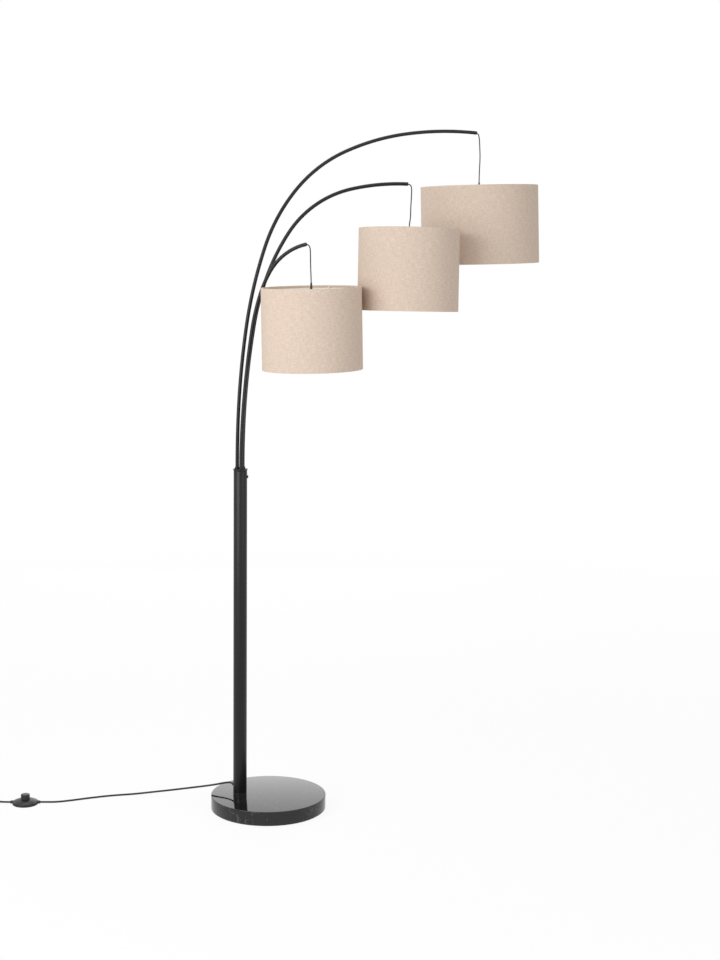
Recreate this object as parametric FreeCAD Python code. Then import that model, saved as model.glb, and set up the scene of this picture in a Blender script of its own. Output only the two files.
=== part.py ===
import FreeCAD, Part
import math
import os

# Tree floor lamp: a round marble base, an off-centre pole, three arched arms that
# stand in one head, a drum shade hanging on a cord from each arm, and a foot switch
# on the mains cord.  Millimetres.  The origin is the centre of the base's underside,
# +X points to the right as the lamp is seen from its front, along the middle arm,
# +Y points to its back and +Z up.

Vector = FreeCAD.Vector

# ---------------------------------------------------------------- driving dimensions
FIT = 0.05            # radial clearance of a turning or sliding fit
SEAT = 0.3            # gap kept between pieces that move on each other
TOUCH = 0.02          # gap of a fixed piece in its hole

FELT_DIAMETER = 292.0
FELT_THICKNESS = 2.0
BASE_DIAMETER = 300.0
BASE_THICKNESS = 35.0
BASE_CHAMFER = 1.2
POLE_X = -73.4        # the pole stands off the centre, under the load's far side
POLE_Y = -30.4

POLE_DIAMETER = 35.0
POLE_WALL = 1.6
POLE_TOP = 892.0
FOOT_COLLAR_HEIGHT = 16.0
FOOT_SPIGOT_HEIGHT = 32.0
FOOT_WIRE_BORE = 20.0

BOLT_DIAMETER = 10.0
BOLT_HEAD_ACROSS = 17.0
BOLT_HEAD_HEIGHT = 6.4
BOLT_GRIP_IN_FOOT = 14.0
WASHER_WIDTH = 30.0          # square plate washer
WASHER_THICKNESS = 3.0
COUNTERBORE_DIAMETER = 44.0
COUNTERBORE_DEPTH = 14.0
BASE_HOLE_DIAMETER = 12.0

HEAD_RIM_DIAMETER = 37.4
HEAD_RIM_HEIGHT = 2.6
HEAD_BEVEL_HEIGHT = 2.2
HEAD_PLUG_DEPTH = 45.0
HEAD_BOSS_DIAMETER = 13.0
HEAD_BOSS_HEIGHT = 4.5
ARM_SOCKET_DEPTH = 30.0      # below the head's underside
ARM_HOLE_CIRCLE = 17.0       # diameter of the circle that the three arms stand on
LOCK_GROOVE_DEPTH = 1.65
LOCK_GROOVE_WIDTH = 12.0
LOCK_SCREW_BELOW_TOP = 15.5
LOCK_SCREW_DIAMETER = 5.0
LOCK_HEAD_DIAMETER = 8.4
LOCK_HEAD_HEIGHT = 2.6
LOCK_SOCKET_ACROSS = 3.0
TERMINAL_WIDTH = 17.0
TERMINAL_HEIGHT = 22.0

ARM_DIAMETER = 9.5
ARM_WALL = 1.0
ARM_SIDES = 12               # flats round the outside of an arm
ARM_BORE_SIDES = 8
ARM_STRAIGHT_RISE = 13.0     # from the pole's top to where the arms start to bend
TIP_GROMMET_LENGTH = 4.0
TIP_GROMMET_CLEARANCE = 0.6  # round the lamp cord, which starts to bend inside it

# Each arm: bearing of its socket, bearing of its plane (0 is +X, 90 is +Y), then its
# bends as (length along the tube, heading from upright at the bend's end).
ARMS = {
    "high": {
        "socket": 165.0,
        "bearing": 20.0,
        "bends": (
            (110.0, 2.0), (240.0, 8.0), (220.0, 19.0), (170.0, 40.0),
            (170.0, 65.5), (180.0, 81.0), (212.0, 94.0),
        ),
    },
    "middle": {
        "socket": 45.0,
        "bearing": 1.0,
        "bends": (
            (110.0, 2.5), (260.0, 9.5), (150.0, 22.5), (100.0, 33.0),
            (200.0, 77.0), (147.0, 92.5),
        ),
    },
    "low": {
        "socket": -75.0,
        "bearing": -22.0,
        "bends": (
            (110.0, 3.5), (240.0, 9.0), (100.0, 19.0), (60.0, 31.0), (126.0, 78.5),
        ),
    },
}

# Each pendant hangs in its arm's plane.  Its cord's points are (out from the arm's
# socket, height over the start of the arm's first bend); the last is the cord grip's
# tip.  The lean tips the shade's lower edge towards the lean's bearing.
LAMP_CORD_DIAMETER = 3.0
PENDANTS = {
    "high": {
        "shade_diameter": 316.5,
        "shade_height": 209.0,
        "grip_rise": 9.7,
        "lean": 1.5,
        "lean_bearing": 20.0,
        "cord": (
            (677.2, 872.4), (682.8, 865.6), (685.0, 837.0), (686.4, 803.0),
            (684.0, 767.0), (683.8, 740.0),
        ),
    },
    "middle": {
        "shade_diameter": 260.0,
        "shade_height": 212.0,
        "grip_rise": 2.0,
        "lean": 1.8,
        "lean_bearing": 242.0,
        "cord": (
            (426.4, 725.8), (432.4, 719.6), (431.8, 693.0), (430.0, 665.0),
            (429.8, 639.0), (426.8, 624.0), (426.7, 614.0),
        ),
    },
    "low": {
        "shade_diameter": 255.0,
        "shade_height": 208.0,
        "grip_rise": 11.6,
        "lean": 1.45,
        "lean_bearing": 39.0,
        "cord": (
            (181.2, 570.7), (188.7, 564.8), (190.2, 547.0), (190.4, 517.0),
            (191.9, 489.0), (192.2, 474.0),
        ),
    },
}

SHADE_WALL = 1.2
RIM_THICKNESS = 3.4          # fabric turned in round the wire ring
RIM_HEIGHT = 6.0
SPIDER_DROP = 49.0           # from the shade's top edge down to the spider's hub
SPIDER_WIRE = 3.0
SPIDER_WIRES = 3
SPIDER_HUB_DIAMETER = 56.0
SPIDER_HUB_THICKNESS = 2.0
SPIDER_RIM_DEPTH = 3.0       # where the wires meet the rim, below the top edge

HOLDER_THREAD_DIAMETER = 40.0
HOLDER_CAP_DIAMETER = 45.0
HOLDER_CAP_HEIGHT = 14.0
HOLDER_DOME_DIAMETER = 29.0  # at the top of the cap's dome
HOLDER_DOME_HEIGHT = 12.0
HOLDER_SKIRT_HEIGHT = 35.0
HOLDER_BORE_DIAMETER = 28.6
HOLDER_BORE_DEPTH = 29.0
GRIP_TIP_DIAMETER = 4.4
GRIP_ROOT_DIAMETER = 9.0
RING_DIAMETER = 50.0
RING_HEIGHT = 9.0
PENDANT_SIDES = 24           # flats of the small turned pieces inside the shades

BULB_CAP_DIAMETER = 26.6
BULB_CAP_LENGTH = 26.0
BULB_CAP_SHOWING = 4.0       # below the lampholder's skirt
BULB_DIAMETER = 58.0
BULB_GLASS_LENGTH = 80.0
# The glass from its neck down: (share of its radius, share of its length).
BULB_GLASS_PROFILE = ((0.8, 0.28), (1.0, 0.5), (1.0, 0.68), (0.8, 0.87), (0.4, 0.98), (0.0, 1.0))

MAINS_CORD_DIAMETER = 5.0
CORD_SIDES = 6               # flats of a cord's section
SMALL_SIDES = 12             # flats of small tapers, nubs and sleeves
GLAND_BEARING = 120.0        # the cord leaves the pole at its back left
GLAND_HEIGHT = 62.5
GLAND_LENGTH = 20.5
GLAND_ROOT_DIAMETER = 11.0
GLAND_TIP_DIAMETER = 8.6
GLAND_BARREL_DIAMETER = 9.0
GLAND_BARREL_LENGTH = 6.0

# Points of the mains cord between the gland and the foot switch; the two end points
# are worked out from the pieces that it meets.
MAINS_CORD_POINTS = (
    (-114.5, 22.2, 59.0), (-135.0, 23.0, 54.5),
    (-163.0, 27.0, 49.0), (-213.0, 46.0, 37.0), (-262.0, 72.0, 23.0),
    (-311.0, 97.0, 10.0), (-362.0, 102.5, 2.6), (-420.0, 91.0, 2.6),
    (-476.0, 71.0, 2.6), (-524.0, 50.0, 2.6), (-560.0, 36.5, 3.0),
)
TAIL_CORD_POINTS = (
    (-708.0, 38.0, 3.4), (-728.0, 50.0, 2.6),
)
CORD_END_RUN = 14.0          # straight run of a cord where it leaves a grip or nub

SWITCH_X = -641.0
SWITCH_Y = 32.0
SWITCH_DIAMETER = 68.0
SWITCH_BASE_THICKNESS = 5.0
SWITCH_COVER_WALL = 2.0
SWITCH_COVER_TOP = 13.4
SWITCH_WALL_LEAN = 1.0        # how far the cover's wall leans in
SWITCH_WALL_HEIGHT = 1.6
SWITCH_DOME_INSET = 10.0      # where the dome flattens, in from the rim
SWITCH_DOME_DROP = 2.8        # and below its top
SWITCH_ENTRY_HEIGHT = 4.6
SWITCH_NUB_DIAMETER = 8.4
SWITCH_NUB_LENGTH = 5.0
BUTTON_DIAMETER = 23.4
BUTTON_TOP = 26.0
BUTTON_FLANGE_DIAMETER = 28.0
BUTTON_FLANGE_HEIGHT = 2.0
BUTTON_FLANGE_BOTTOM = 8.6
SWITCH_SIDES = 32            # flats of the switch's turned pieces
SPRING_DIAMETER = 9.0
SPRING_WALL = 1.0
SPRING_RECESS_DEPTH = 7.0

COIL_X = -768.0
COIL_Y = 101.0
COIL_OUTER_RADIUS = 36.5     # of the outermost turn's centre line
COIL_PITCH = 5.8             # between turns, sideways
COIL_LAYER_RISE = 5.7
COIL_FIRST_HEIGHT = 2.6
COIL_START_BEARING = 250.0
COIL_FULL_TURNS = 4
COIL_END_BEARING = 180.0
COIL_CLIMB_TURNS = 0.5
COIL_EXIT_WIDEN = 6.0        # over the last half turn
COIL_EXIT_DROP = 1.2         # over the last quarter turn, down to the plug's height

PLUG_WIDTH = 35.3
PLUG_THICKNESS = 13.7
PLUG_LENGTH = 38.0
PLUG_REAR_WIDTH = 13.0
PLUG_GRIP_LENGTH = 28.0
PLUG_GRIP_ROOT = 9.5
PLUG_GRIP_TIP = 7.0
PLUG_SHOULDER_SHARE = 0.3    # of the length, the part as wide as its front
PLUG_CHAMFER = 1.5
PIN_DIAMETER = 4.0
PIN_LENGTH = 19.0
PIN_SPACING = 18.6
PIN_ROOT_LENGTH = 6.0        # inside the plug's body
PIN_ROOT_DIAMETER = 3.2

# ------------------------------------------------------------- sizes worked out once
BASE_TOP = FELT_THICKNESS + BASE_THICKNESS
FOOT_COLLAR_TOP = BASE_TOP + FOOT_COLLAR_HEIGHT
POLE_RADIUS = POLE_DIAMETER / 2
POLE_BORE_RADIUS = POLE_RADIUS - POLE_WALL
HEAD_BOTTOM = POLE_TOP - HEAD_PLUG_DEPTH
HEAD_TOP = POLE_TOP + SEAT + HEAD_BEVEL_HEIGHT + HEAD_RIM_HEIGHT
ARM_FOOT = POLE_TOP - ARM_SOCKET_DEPTH
ARM_STRAIGHT_TOP = POLE_TOP + ARM_STRAIGHT_RISE
LOCK_SCREW_HEIGHT = POLE_TOP - LOCK_SCREW_BELOW_TOP
WASHER_BOTTOM = FELT_THICKNESS + COUNTERBORE_DEPTH - WASHER_THICKNESS
GLAND_TIP_REACH = POLE_RADIUS + GLAND_LENGTH
ARM_RADIUS = ARM_DIAMETER / 2
ARM_BORE_RADIUS = ARM_RADIUS - ARM_WALL
COIL_TURNS = COIL_FULL_TURNS + (COIL_START_BEARING - COIL_END_BEARING) / 360


# --------------------------------------------------------------------- shape helpers
def lathe(profile, at=(0.0, 0.0)):
    """Solid of revolution about the upright axis through at, from (radius, z) points."""
    points = [Vector(at[0] + radius, at[1], z) for radius, z in profile]
    face = Part.Face(Part.makePolygon(points + points[:1]))
    axis_point = Vector(at[0], at[1], 0)
    return face.revolve(axis_point, Vector(0, 0, 1), 360)


def flat_lathe(profile, sides, at=(0.0, 0.0)):
    """Turned shape with a number of flats in place of its round, from (radius, z) points."""
    rings = []
    for radius, z in profile:
        ring = []
        for number in range(sides):
            angle = 2 * math.pi * number / sides
            ring.append(Vector(at[0] + radius * math.cos(angle), at[1] + radius * math.sin(angle), z))
        rings.append(ring)
    faces = []
    for lower, upper in zip(rings, rings[1:] + rings[:1]):
        for number in range(sides):
            after = (number + 1) % sides
            corners = []
            for corner in (lower[number], lower[after], upper[after], upper[number]):
                if not corners or (corner - corners[-1]).Length > 1e-6:
                    corners.append(corner)
            if (corners[0] - corners[-1]).Length < 1e-6:
                corners.pop()
            if len(corners) > 2:
                faces.append(Part.Face(Part.makePolygon(corners + corners[:1])))
    solid = Part.makeSolid(Part.makeShell(faces)).removeSplitter()
    if solid.Volume < 0:
        solid.reverse()
    return solid


def taper(sides, start_diameter, end_diameter, start, end):
    """Tapered bar with flats, between two points."""
    along = end - start
    sections = [
        polygon_wire(sides, start_diameter / 2, start, along),
        polygon_wire(sides, end_diameter / 2, end, along),
    ]
    return Part.makeLoft(sections, True, True)


def rod(radius, start, end):
    """Round bar between two points."""
    along = end - start
    return Part.makeCylinder(radius, along.Length, start, along)


def polygon_wire(sides, radius, centre, normal):
    """Regular polygon of corners at radius, square to normal."""
    side = normal.cross(Vector(0, 0, 1))
    if side.Length < 1e-6:
        side = Vector(1, 0, 0)
    side.normalize()
    up = normal.cross(side)
    up.normalize()
    corners = []
    for number in range(sides):
        angle = 2 * math.pi * (number + 0.5) / sides
        corners.append(centre + side * (radius * math.cos(angle)) + up * (radius * math.sin(angle)))
    return Part.makePolygon(corners + corners[:1])


def sweep(path, section):
    """Closed solid of one section wire drawn along a path of edges."""
    return Part.Wire(path).makePipeShell([section], True, False)


def bearing_vector(bearing):
    """Level unit vector at a bearing in degrees, 0 along +X and 90 along +Y."""
    angle = math.radians(bearing)
    return Vector(math.cos(angle), math.sin(angle), 0)


def arm_plane_point(arm, out, height):
    """Point in an arm's upright plane, at a distance out from its socket's axis."""
    socket = bearing_vector(arm["socket"]) * (ARM_HOLE_CIRCLE / 2)
    outwards = bearing_vector(arm["bearing"]) * out
    return Vector(POLE_X, POLE_Y, height) + socket + outwards


def pendant_point(arm, out, height):
    """Point of a pendant's cord, at a height over the start of the arm's first bend."""
    return arm_plane_point(arm, out, ARM_STRAIGHT_TOP + height)


def heading_vector(arm, heading):
    """Unit vector in an arm's plane, turned from upright towards its bearing."""
    angle = math.radians(heading)
    level = bearing_vector(arm["bearing"]) * math.sin(angle)
    return level + Vector(0, 0, math.cos(angle))


# --------------------------------------------------------------------------- cords
def rounded_route(points, name, diameter):
    """Straight runs joined by tangent arcs through a cord's points, with the radii printed."""
    edges = []
    radii = []
    last = points[0]
    for before, corner, after in zip(points, points[1:], points[2:]):
        arrive = (corner - before).normalize()
        leave = (after - corner).normalize()
        turn = arrive.getAngle(leave)
        reach = 0.45 * min((corner - before).Length, (after - corner).Length)
        radius = reach / math.tan(turn / 2)
        inwards = (leave - arrive).normalize()
        centre = corner + inwards * (radius / math.cos(turn / 2))
        start = corner - arrive * reach
        end = corner + leave * reach
        middle = centre - inwards * radius
        edges.append(Part.LineSegment(last, start).toShape())
        edges.append(Part.Arc(start, middle, end).toShape())
        radii.append(radius)
        last = end
    edges.append(Part.LineSegment(last, points[-1]).toShape())
    shown = " ".join("%.0f" % radius for radius in radii)
    print("%s: length %.0f, radii %s, least %.1f diameters"
          % (name, path_length(edges), shown, min(radii) / diameter))
    return edges


def path_length(edges):
    """Length of a list of edges."""
    return sum(edge.Length for edge in edges)


def report_volume(name, solid, section_area, length):
    """Print a tube's volume against its section times its length."""
    print("%s: volume %.0f, section times length %.0f" % (name, solid.Volume, section_area * length))


def polygon_area(sides, radius):
    """Area of a regular polygon with corners at radius."""
    return 0.5 * sides * radius ** 2 * math.sin(2 * math.pi / sides)


def cord_tube(points, diameter, name):
    """Tube along a cord's points."""
    edges = rounded_route(points, name, diameter)
    start = points[0]
    section = polygon_wire(CORD_SIDES, diameter / 2, start, points[1] - start)
    solid = sweep(edges, section)
    report_volume(name, solid, polygon_area(CORD_SIDES, diameter / 2), path_length(edges))
    return solid


def arc_from_tangent(start, tangent_corner, end):
    """Arc from start to end whose end tangents meet at tangent_corner."""
    chord_middle = (start + end) * 0.5
    angle = (tangent_corner - start).getAngle(end - start)
    rise = (start - chord_middle).Length * math.tan(angle / 2)
    towards = (tangent_corner - chord_middle).normalize()
    return Part.Arc(start, chord_middle + towards * rise, end).toShape()


def biarc(start, start_direction, end, end_direction):
    """Two arcs that join start to end and run along the given directions there."""
    across = end - start
    both = start_direction + end_direction
    spread = 2 - 2 * start_direction.dot(end_direction)
    forward = across.dot(both)
    if spread < 1e-9:
        reach = across.dot(across) / (2 * forward)
    else:
        root = math.sqrt(forward ** 2 + spread * across.dot(across))
        reach = (root - forward) / spread
    first_corner = start + start_direction * reach
    second_corner = end - end_direction * reach
    joint = (first_corner + second_corner) * 0.5
    return [
        arc_from_tangent(start, first_corner, joint),
        arc_from_tangent(joint, second_corner, end),
    ]


def least_self_gap(edges, diameter, step=2.0):
    """Least gap of a tube to itself, on points along its centre line."""
    samples = []
    travelled = 0.0
    for edge in edges:
        count = max(2, int(edge.Length / step))
        for number in range(count):
            parameter = edge.FirstParameter
            parameter += (edge.LastParameter - edge.FirstParameter) * number / count
            samples.append((travelled + edge.Length * number / count, edge.valueAt(parameter)))
        travelled += edge.Length
    least = float("inf")
    for index, (place, point) in enumerate(samples):
        for other_place, other in samples[index + 1:]:
            if other_place - place > 8 * diameter:
                least = min(least, (point - other).Length)
    return least - diameter


# ---------------------------------------------------------------------------- base
def marble_base():
    """Round stone slab with a bolt hole, counterbored from below, under the pole."""
    radius = BASE_DIAMETER / 2
    bottom = FELT_THICKNESS
    slab = lathe([
        (0, bottom), (radius - BASE_CHAMFER, bottom), (radius, bottom + BASE_CHAMFER),
        (radius, BASE_TOP - BASE_CHAMFER), (radius - BASE_CHAMFER, BASE_TOP), (0, BASE_TOP),
    ])
    hole = rod(BASE_HOLE_DIAMETER / 2, Vector(POLE_X, POLE_Y, 0), Vector(POLE_X, POLE_Y, BASE_TOP + 1))
    counterbore = rod(COUNTERBORE_DIAMETER / 2, Vector(POLE_X, POLE_Y, bottom - 1),
                      Vector(POLE_X, POLE_Y, bottom + COUNTERBORE_DEPTH))
    return slab.cut(hole.fuse(counterbore))


def base_felt():
    """Felt sheet under the slab, which also closes the counterbore."""
    return rod(FELT_DIAMETER / 2, Vector(0, 0, 0), Vector(0, 0, FELT_THICKNESS))


def hexagon_prism(across_flats, bottom, height, at):
    """Upright hexagonal bar."""
    corner_radius = across_flats / math.sqrt(3)
    outline = polygon_wire(6, corner_radius, Vector(at[0], at[1], bottom), Vector(0, 0, 1))
    return Part.Face(outline).extrude(Vector(0, 0, height))


def base_bolt():
    """Hexagon bolt that pulls the pole's foot down on the slab."""
    shank_bottom = WASHER_BOTTOM - TOUCH
    head_bottom = shank_bottom - BOLT_HEAD_HEIGHT
    head = hexagon_prism(BOLT_HEAD_ACROSS, head_bottom, BOLT_HEAD_HEIGHT, (POLE_X, POLE_Y))
    shank = rod(BOLT_DIAMETER / 2, Vector(POLE_X, POLE_Y, shank_bottom - 1),
                Vector(POLE_X, POLE_Y, BASE_TOP + BOLT_GRIP_IN_FOOT))
    return head.fuse(shank)


def base_washer():
    """Square plate washer against the counterbore's ceiling."""
    half = WASHER_WIDTH / 2
    plate = Part.makeBox(WASHER_WIDTH, WASHER_WIDTH, WASHER_THICKNESS,
                         Vector(POLE_X - half, POLE_Y - half, WASHER_BOTTOM))
    hole = rod(BOLT_DIAMETER / 2 + SEAT, Vector(POLE_X, POLE_Y, 0), Vector(POLE_X, POLE_Y, BASE_TOP))
    return plate.cut(hole)


def pole_foot():
    """Turned foot: a collar as wide as the pole and a spigot that the pole is pressed on."""
    spigot = POLE_BORE_RADIUS - TOUCH
    spigot_top = FOOT_COLLAR_TOP + FOOT_SPIGOT_HEIGHT
    thread = BOLT_DIAMETER / 2 + TOUCH
    thread_top = BASE_TOP + BOLT_GRIP_IN_FOOT + 2
    wire_bore_bottom = thread_top + 2
    body = lathe([
        (thread, BASE_TOP), (POLE_RADIUS, BASE_TOP), (POLE_RADIUS, FOOT_COLLAR_TOP - TOUCH),
        (spigot, FOOT_COLLAR_TOP - TOUCH), (spigot, spigot_top),
        (FOOT_WIRE_BORE / 2, spigot_top), (FOOT_WIRE_BORE / 2, wire_bore_bottom),
        (0, wire_bore_bottom), (0, thread_top), (thread, thread_top),
    ], (POLE_X, POLE_Y))
    return body.cut(gland_hole())


def gland_axis_point(reach, height=GLAND_HEIGHT):
    """Point at a distance from the pole's axis, on the gland's bearing."""
    return Vector(POLE_X, POLE_Y, height) + bearing_vector(GLAND_BEARING) * reach


def gland_hole():
    """Hole for the gland's barrel through the pole's wall and its foot's spigot."""
    radius = GLAND_BARREL_DIAMETER / 2 + TOUCH
    return rod(radius, gland_axis_point(FOOT_WIRE_BORE / 4), gland_axis_point(POLE_RADIUS + 1))


def cord_gland():
    """Tapered rubber strain relief, seated on the round of the pole, with its barrel inside."""
    inner_end = POLE_RADIUS - GLAND_BARREL_LENGTH
    boot = taper(SMALL_SIDES, GLAND_ROOT_DIAMETER, GLAND_TIP_DIAMETER,
                 gland_axis_point(POLE_RADIUS - 2), gland_axis_point(GLAND_TIP_REACH))
    pole = rod(POLE_RADIUS, Vector(POLE_X, POLE_Y, BASE_TOP), Vector(POLE_X, POLE_Y, POLE_TOP))
    barrel = rod(GLAND_BARREL_DIAMETER / 2, gland_axis_point(inner_end), gland_axis_point(POLE_RADIUS + 1))
    return boot.cut(pole).fuse(barrel)


def pole_tube():
    """Round steel pole with a hole for the gland and a tapped one for the lock screw."""
    tube = lathe([
        (POLE_BORE_RADIUS, FOOT_COLLAR_TOP), (POLE_RADIUS, FOOT_COLLAR_TOP),
        (POLE_RADIUS, POLE_TOP), (POLE_BORE_RADIUS, POLE_TOP),
    ], (POLE_X, POLE_Y))
    screw_hole = rod(LOCK_SCREW_DIAMETER / 2 + FIT, Vector(POLE_X, POLE_Y, LOCK_SCREW_HEIGHT),
                     Vector(POLE_X + POLE_DIAMETER, POLE_Y, LOCK_SCREW_HEIGHT))
    return tube.cut(gland_hole()).cut(screw_hole)


def inner_cord():
    """Mains cord inside the pole, from the gland's barrel up to the terminal block."""
    start_reach = POLE_RADIUS - GLAND_BARREL_LENGTH - TOUCH
    bend_top = GLAND_HEIGHT + start_reach
    end_height = HEAD_BOTTOM - TERMINAL_HEIGHT - SEAT
    points = [gland_axis_point(start_reach), gland_axis_point(0.0), gland_axis_point(0.0, bend_top)]
    reach = 0.9 * start_reach
    start = points[1] + bearing_vector(GLAND_BEARING) * reach
    end = Vector(POLE_X, POLE_Y, GLAND_HEIGHT + reach)
    centre = start + Vector(0, 0, reach)
    middle = centre + (points[1] - centre).normalize() * reach
    edges = [
        Part.LineSegment(points[0], start).toShape(),
        Part.Arc(start, middle, end).toShape(),
        Part.LineSegment(end, Vector(POLE_X, POLE_Y, end_height)).toShape(),
    ]
    section = polygon_wire(CORD_SIDES, MAINS_CORD_DIAMETER / 2, points[0], points[1] - points[0])
    return sweep(edges, section)


# ---------------------------------------------------------------------------- head
def arm_head():
    """Head that turns in the pole: a grooved plug, a bevelled rim and three arm bosses."""
    plug = POLE_BORE_RADIUS - FIT
    groove = plug - LOCK_GROOVE_DEPTH
    groove_bottom = LOCK_SCREW_HEIGHT - LOCK_GROOVE_WIDTH / 2
    groove_top = LOCK_SCREW_HEIGHT + LOCK_GROOVE_WIDTH / 2
    rim_bottom = POLE_TOP + SEAT
    rim = HEAD_RIM_DIAMETER / 2
    head = lathe([
        (0, HEAD_BOTTOM), (plug, HEAD_BOTTOM), (plug, groove_bottom), (groove, groove_bottom),
        (groove, groove_top), (plug, groove_top), (plug, rim_bottom), (POLE_RADIUS, rim_bottom),
        (rim, rim_bottom + HEAD_BEVEL_HEIGHT), (rim, HEAD_TOP), (0, HEAD_TOP),
    ], (POLE_X, POLE_Y))
    for arm in ARMS.values():
        foot = arm_plane_point(arm, 0, ARM_FOOT)
        boss_top = arm_plane_point(arm, 0, HEAD_TOP + HEAD_BOSS_HEIGHT)
        head = head.fuse(rod(HEAD_BOSS_DIAMETER / 2, arm_plane_point(arm, 0, HEAD_TOP - 1), boss_top))
        head = head.cut(rod(ARM_RADIUS + FIT, foot, boss_top + Vector(0, 0, 1)))
        head = head.cut(rod(ARM_BORE_RADIUS, arm_plane_point(arm, 0, HEAD_BOTTOM - 1), foot))
    return head


def terminal_block():
    """Block under the head where the mains cord meets the three lamp cords."""
    half = TERMINAL_WIDTH / 2
    corner = Vector(POLE_X - half, POLE_Y - half, HEAD_BOTTOM - TERMINAL_HEIGHT)
    return Part.makeBox(TERMINAL_WIDTH, TERMINAL_WIDTH, TERMINAL_HEIGHT - TOUCH, corner)


def lock_screw():
    """Low domed screw through the pole's wall, whose tip stands in the head's groove."""
    seat = POLE_RADIUS + SEAT
    groove_floor = POLE_BORE_RADIUS - FIT - LOCK_GROOVE_DEPTH
    tip = groove_floor + SEAT
    head = LOCK_HEAD_DIAMETER / 2
    shank = LOCK_SCREW_DIAMETER / 2
    screw = lathe([
        (0, tip), (shank, tip), (shank, seat), (head, seat), (head, seat + LOCK_HEAD_HEIGHT * 0.4),
        (head * 0.62, seat + LOCK_HEAD_HEIGHT), (0, seat + LOCK_HEAD_HEIGHT),
    ])
    socket = hexagon_prism(LOCK_SOCKET_ACROSS, seat + LOCK_HEAD_HEIGHT / 3, LOCK_HEAD_HEIGHT, (0, 0))
    screw = screw.cut(socket)
    screw.rotate(Vector(0, 0, 0), Vector(0, 1, 0), 90)
    screw.translate(Vector(POLE_X, POLE_Y, LOCK_SCREW_HEIGHT))
    return screw


# ---------------------------------------------------------------------------- arms
def arm_path(arm, foot):
    """Edges of an arm's centre line from its foot, with its tip's point and direction."""
    top = arm_plane_point(arm, 0, ARM_STRAIGHT_TOP)
    edges = [Part.LineSegment(arm_plane_point(arm, 0, foot), top).toShape()]
    out = 0.0
    height = ARM_STRAIGHT_TOP
    heading = 0.0
    for length, end_heading in arm["bends"]:
        radius = length / math.radians(end_heading - heading)
        centre_out = out + radius * math.cos(math.radians(heading))
        centre_height = height - radius * math.sin(math.radians(heading))
        places = []
        for angle in (heading, (heading + end_heading) / 2, end_heading):
            places.append((centre_out - radius * math.cos(math.radians(angle)),
                           centre_height + radius * math.sin(math.radians(angle))))
        edges.append(Part.Arc(*[arm_plane_point(arm, *place) for place in places]).toShape())
        out, height = places[2]
        heading = end_heading
    return edges, arm_plane_point(arm, out, height), heading_vector(arm, heading)


def arm_tube(arm):
    """Bent steel tube, from its seat in the head to its open tip."""
    edges, tip, direction = arm_path(arm, ARM_FOOT + SEAT)
    foot = edges[0].Vertexes[0].Point
    outer = sweep(edges, polygon_wire(ARM_SIDES, ARM_RADIUS, foot, Vector(0, 0, 1)))
    bore = sweep(edges, polygon_wire(ARM_BORE_SIDES, ARM_BORE_RADIUS, foot, Vector(0, 0, 1)))
    return outer.cut(bore)


def tip_grommet(arm):
    """Plastic bush in an arm's open tip, in which the lamp cord turns."""
    tip, direction = arm_path(arm, ARM_FOOT + SEAT)[1:]
    start = tip - direction * TIP_GROMMET_LENGTH
    half_flat = ARM_BORE_RADIUS * math.cos(math.pi / ARM_BORE_SIDES)
    passage = LAMP_CORD_DIAMETER / 2 + TIP_GROMMET_CLEARANCE
    body = rod(half_flat - 4 * TOUCH, start, tip)
    return body.cut(rod(passage, start - direction, tip + direction))


# ------------------------------------------------------------------------- pendants
def lamp_cord(name):
    """Lamp cord from inside an arm's tip, round its bend and down to the cord grip."""
    arm = ARMS[name]
    tip, direction = arm_path(arm, ARM_FOOT + SEAT)[1:]
    inside = tip - direction * (TIP_GROMMET_LENGTH + 1)
    points = [inside] + [pendant_point(arm, *place) for place in PENDANTS[name]["cord"]]
    points[-1] = points[-1] + Vector(0, 0, 3 * TOUCH)
    return cord_tube(points, LAMP_CORD_DIAMETER, name + "_lamp_cord")


def hang(shape, name):
    """Move a shape from a pendant's own frame, whose origin is the shade's top centre."""
    pendant = PENDANTS[name]
    arm = ARMS[name]
    tip = pendant_point(arm, *pendant["cord"][-1])
    shape.rotate(Vector(0, 0, 0), Vector(0, 0, 1), arm["bearing"])
    shape.translate(tip - Vector(0, 0, pendant["grip_rise"]))
    shape.rotate(tip, Vector(0, 0, -1).cross(bearing_vector(pendant["lean_bearing"])), pendant["lean"])
    return shape


def lampholder(name):
    """Lampholder: a domed cap with its tapered cord grip, a threaded skirt and a lamp socket."""
    cap_bottom = -SPIDER_DROP
    cap_top = cap_bottom + HOLDER_CAP_HEIGHT
    dome_top = cap_top + HOLDER_DOME_HEIGHT
    skirt_bottom = cap_bottom - HOLDER_SKIRT_HEIGHT
    bore_top = skirt_bottom + HOLDER_BORE_DEPTH
    skirt = HOLDER_THREAD_DIAMETER / 2
    bore = HOLDER_BORE_DIAMETER / 2
    body = flat_lathe([
        (0, dome_top), (HOLDER_DOME_DIAMETER / 2, dome_top), (HOLDER_CAP_DIAMETER / 2, cap_top),
        (HOLDER_CAP_DIAMETER / 2, cap_bottom), (skirt, cap_bottom), (skirt, skirt_bottom),
        (bore, skirt_bottom), (bore, bore_top), (0, bore_top),
    ], PENDANT_SIDES)
    grip = taper(SMALL_SIDES, GRIP_ROOT_DIAMETER, GRIP_TIP_DIAMETER, Vector(0, 0, dome_top - 1),
                 Vector(0, 0, PENDANTS[name]["grip_rise"]))
    return body.fuse(grip)


def shade_inside(name):
    """Space inside a shade, bounded by its wall and its two turned-in rims."""
    radius = PENDANTS[name]["shade_diameter"] / 2
    height = PENDANTS[name]["shade_height"]
    wall = radius - SHADE_WALL
    rim = radius - RIM_THICKNESS
    return lathe([
        (0, -height), (rim, -height), (wall, RIM_HEIGHT - height), (wall, -RIM_HEIGHT), (rim, 0), (0, 0),
    ])


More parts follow.
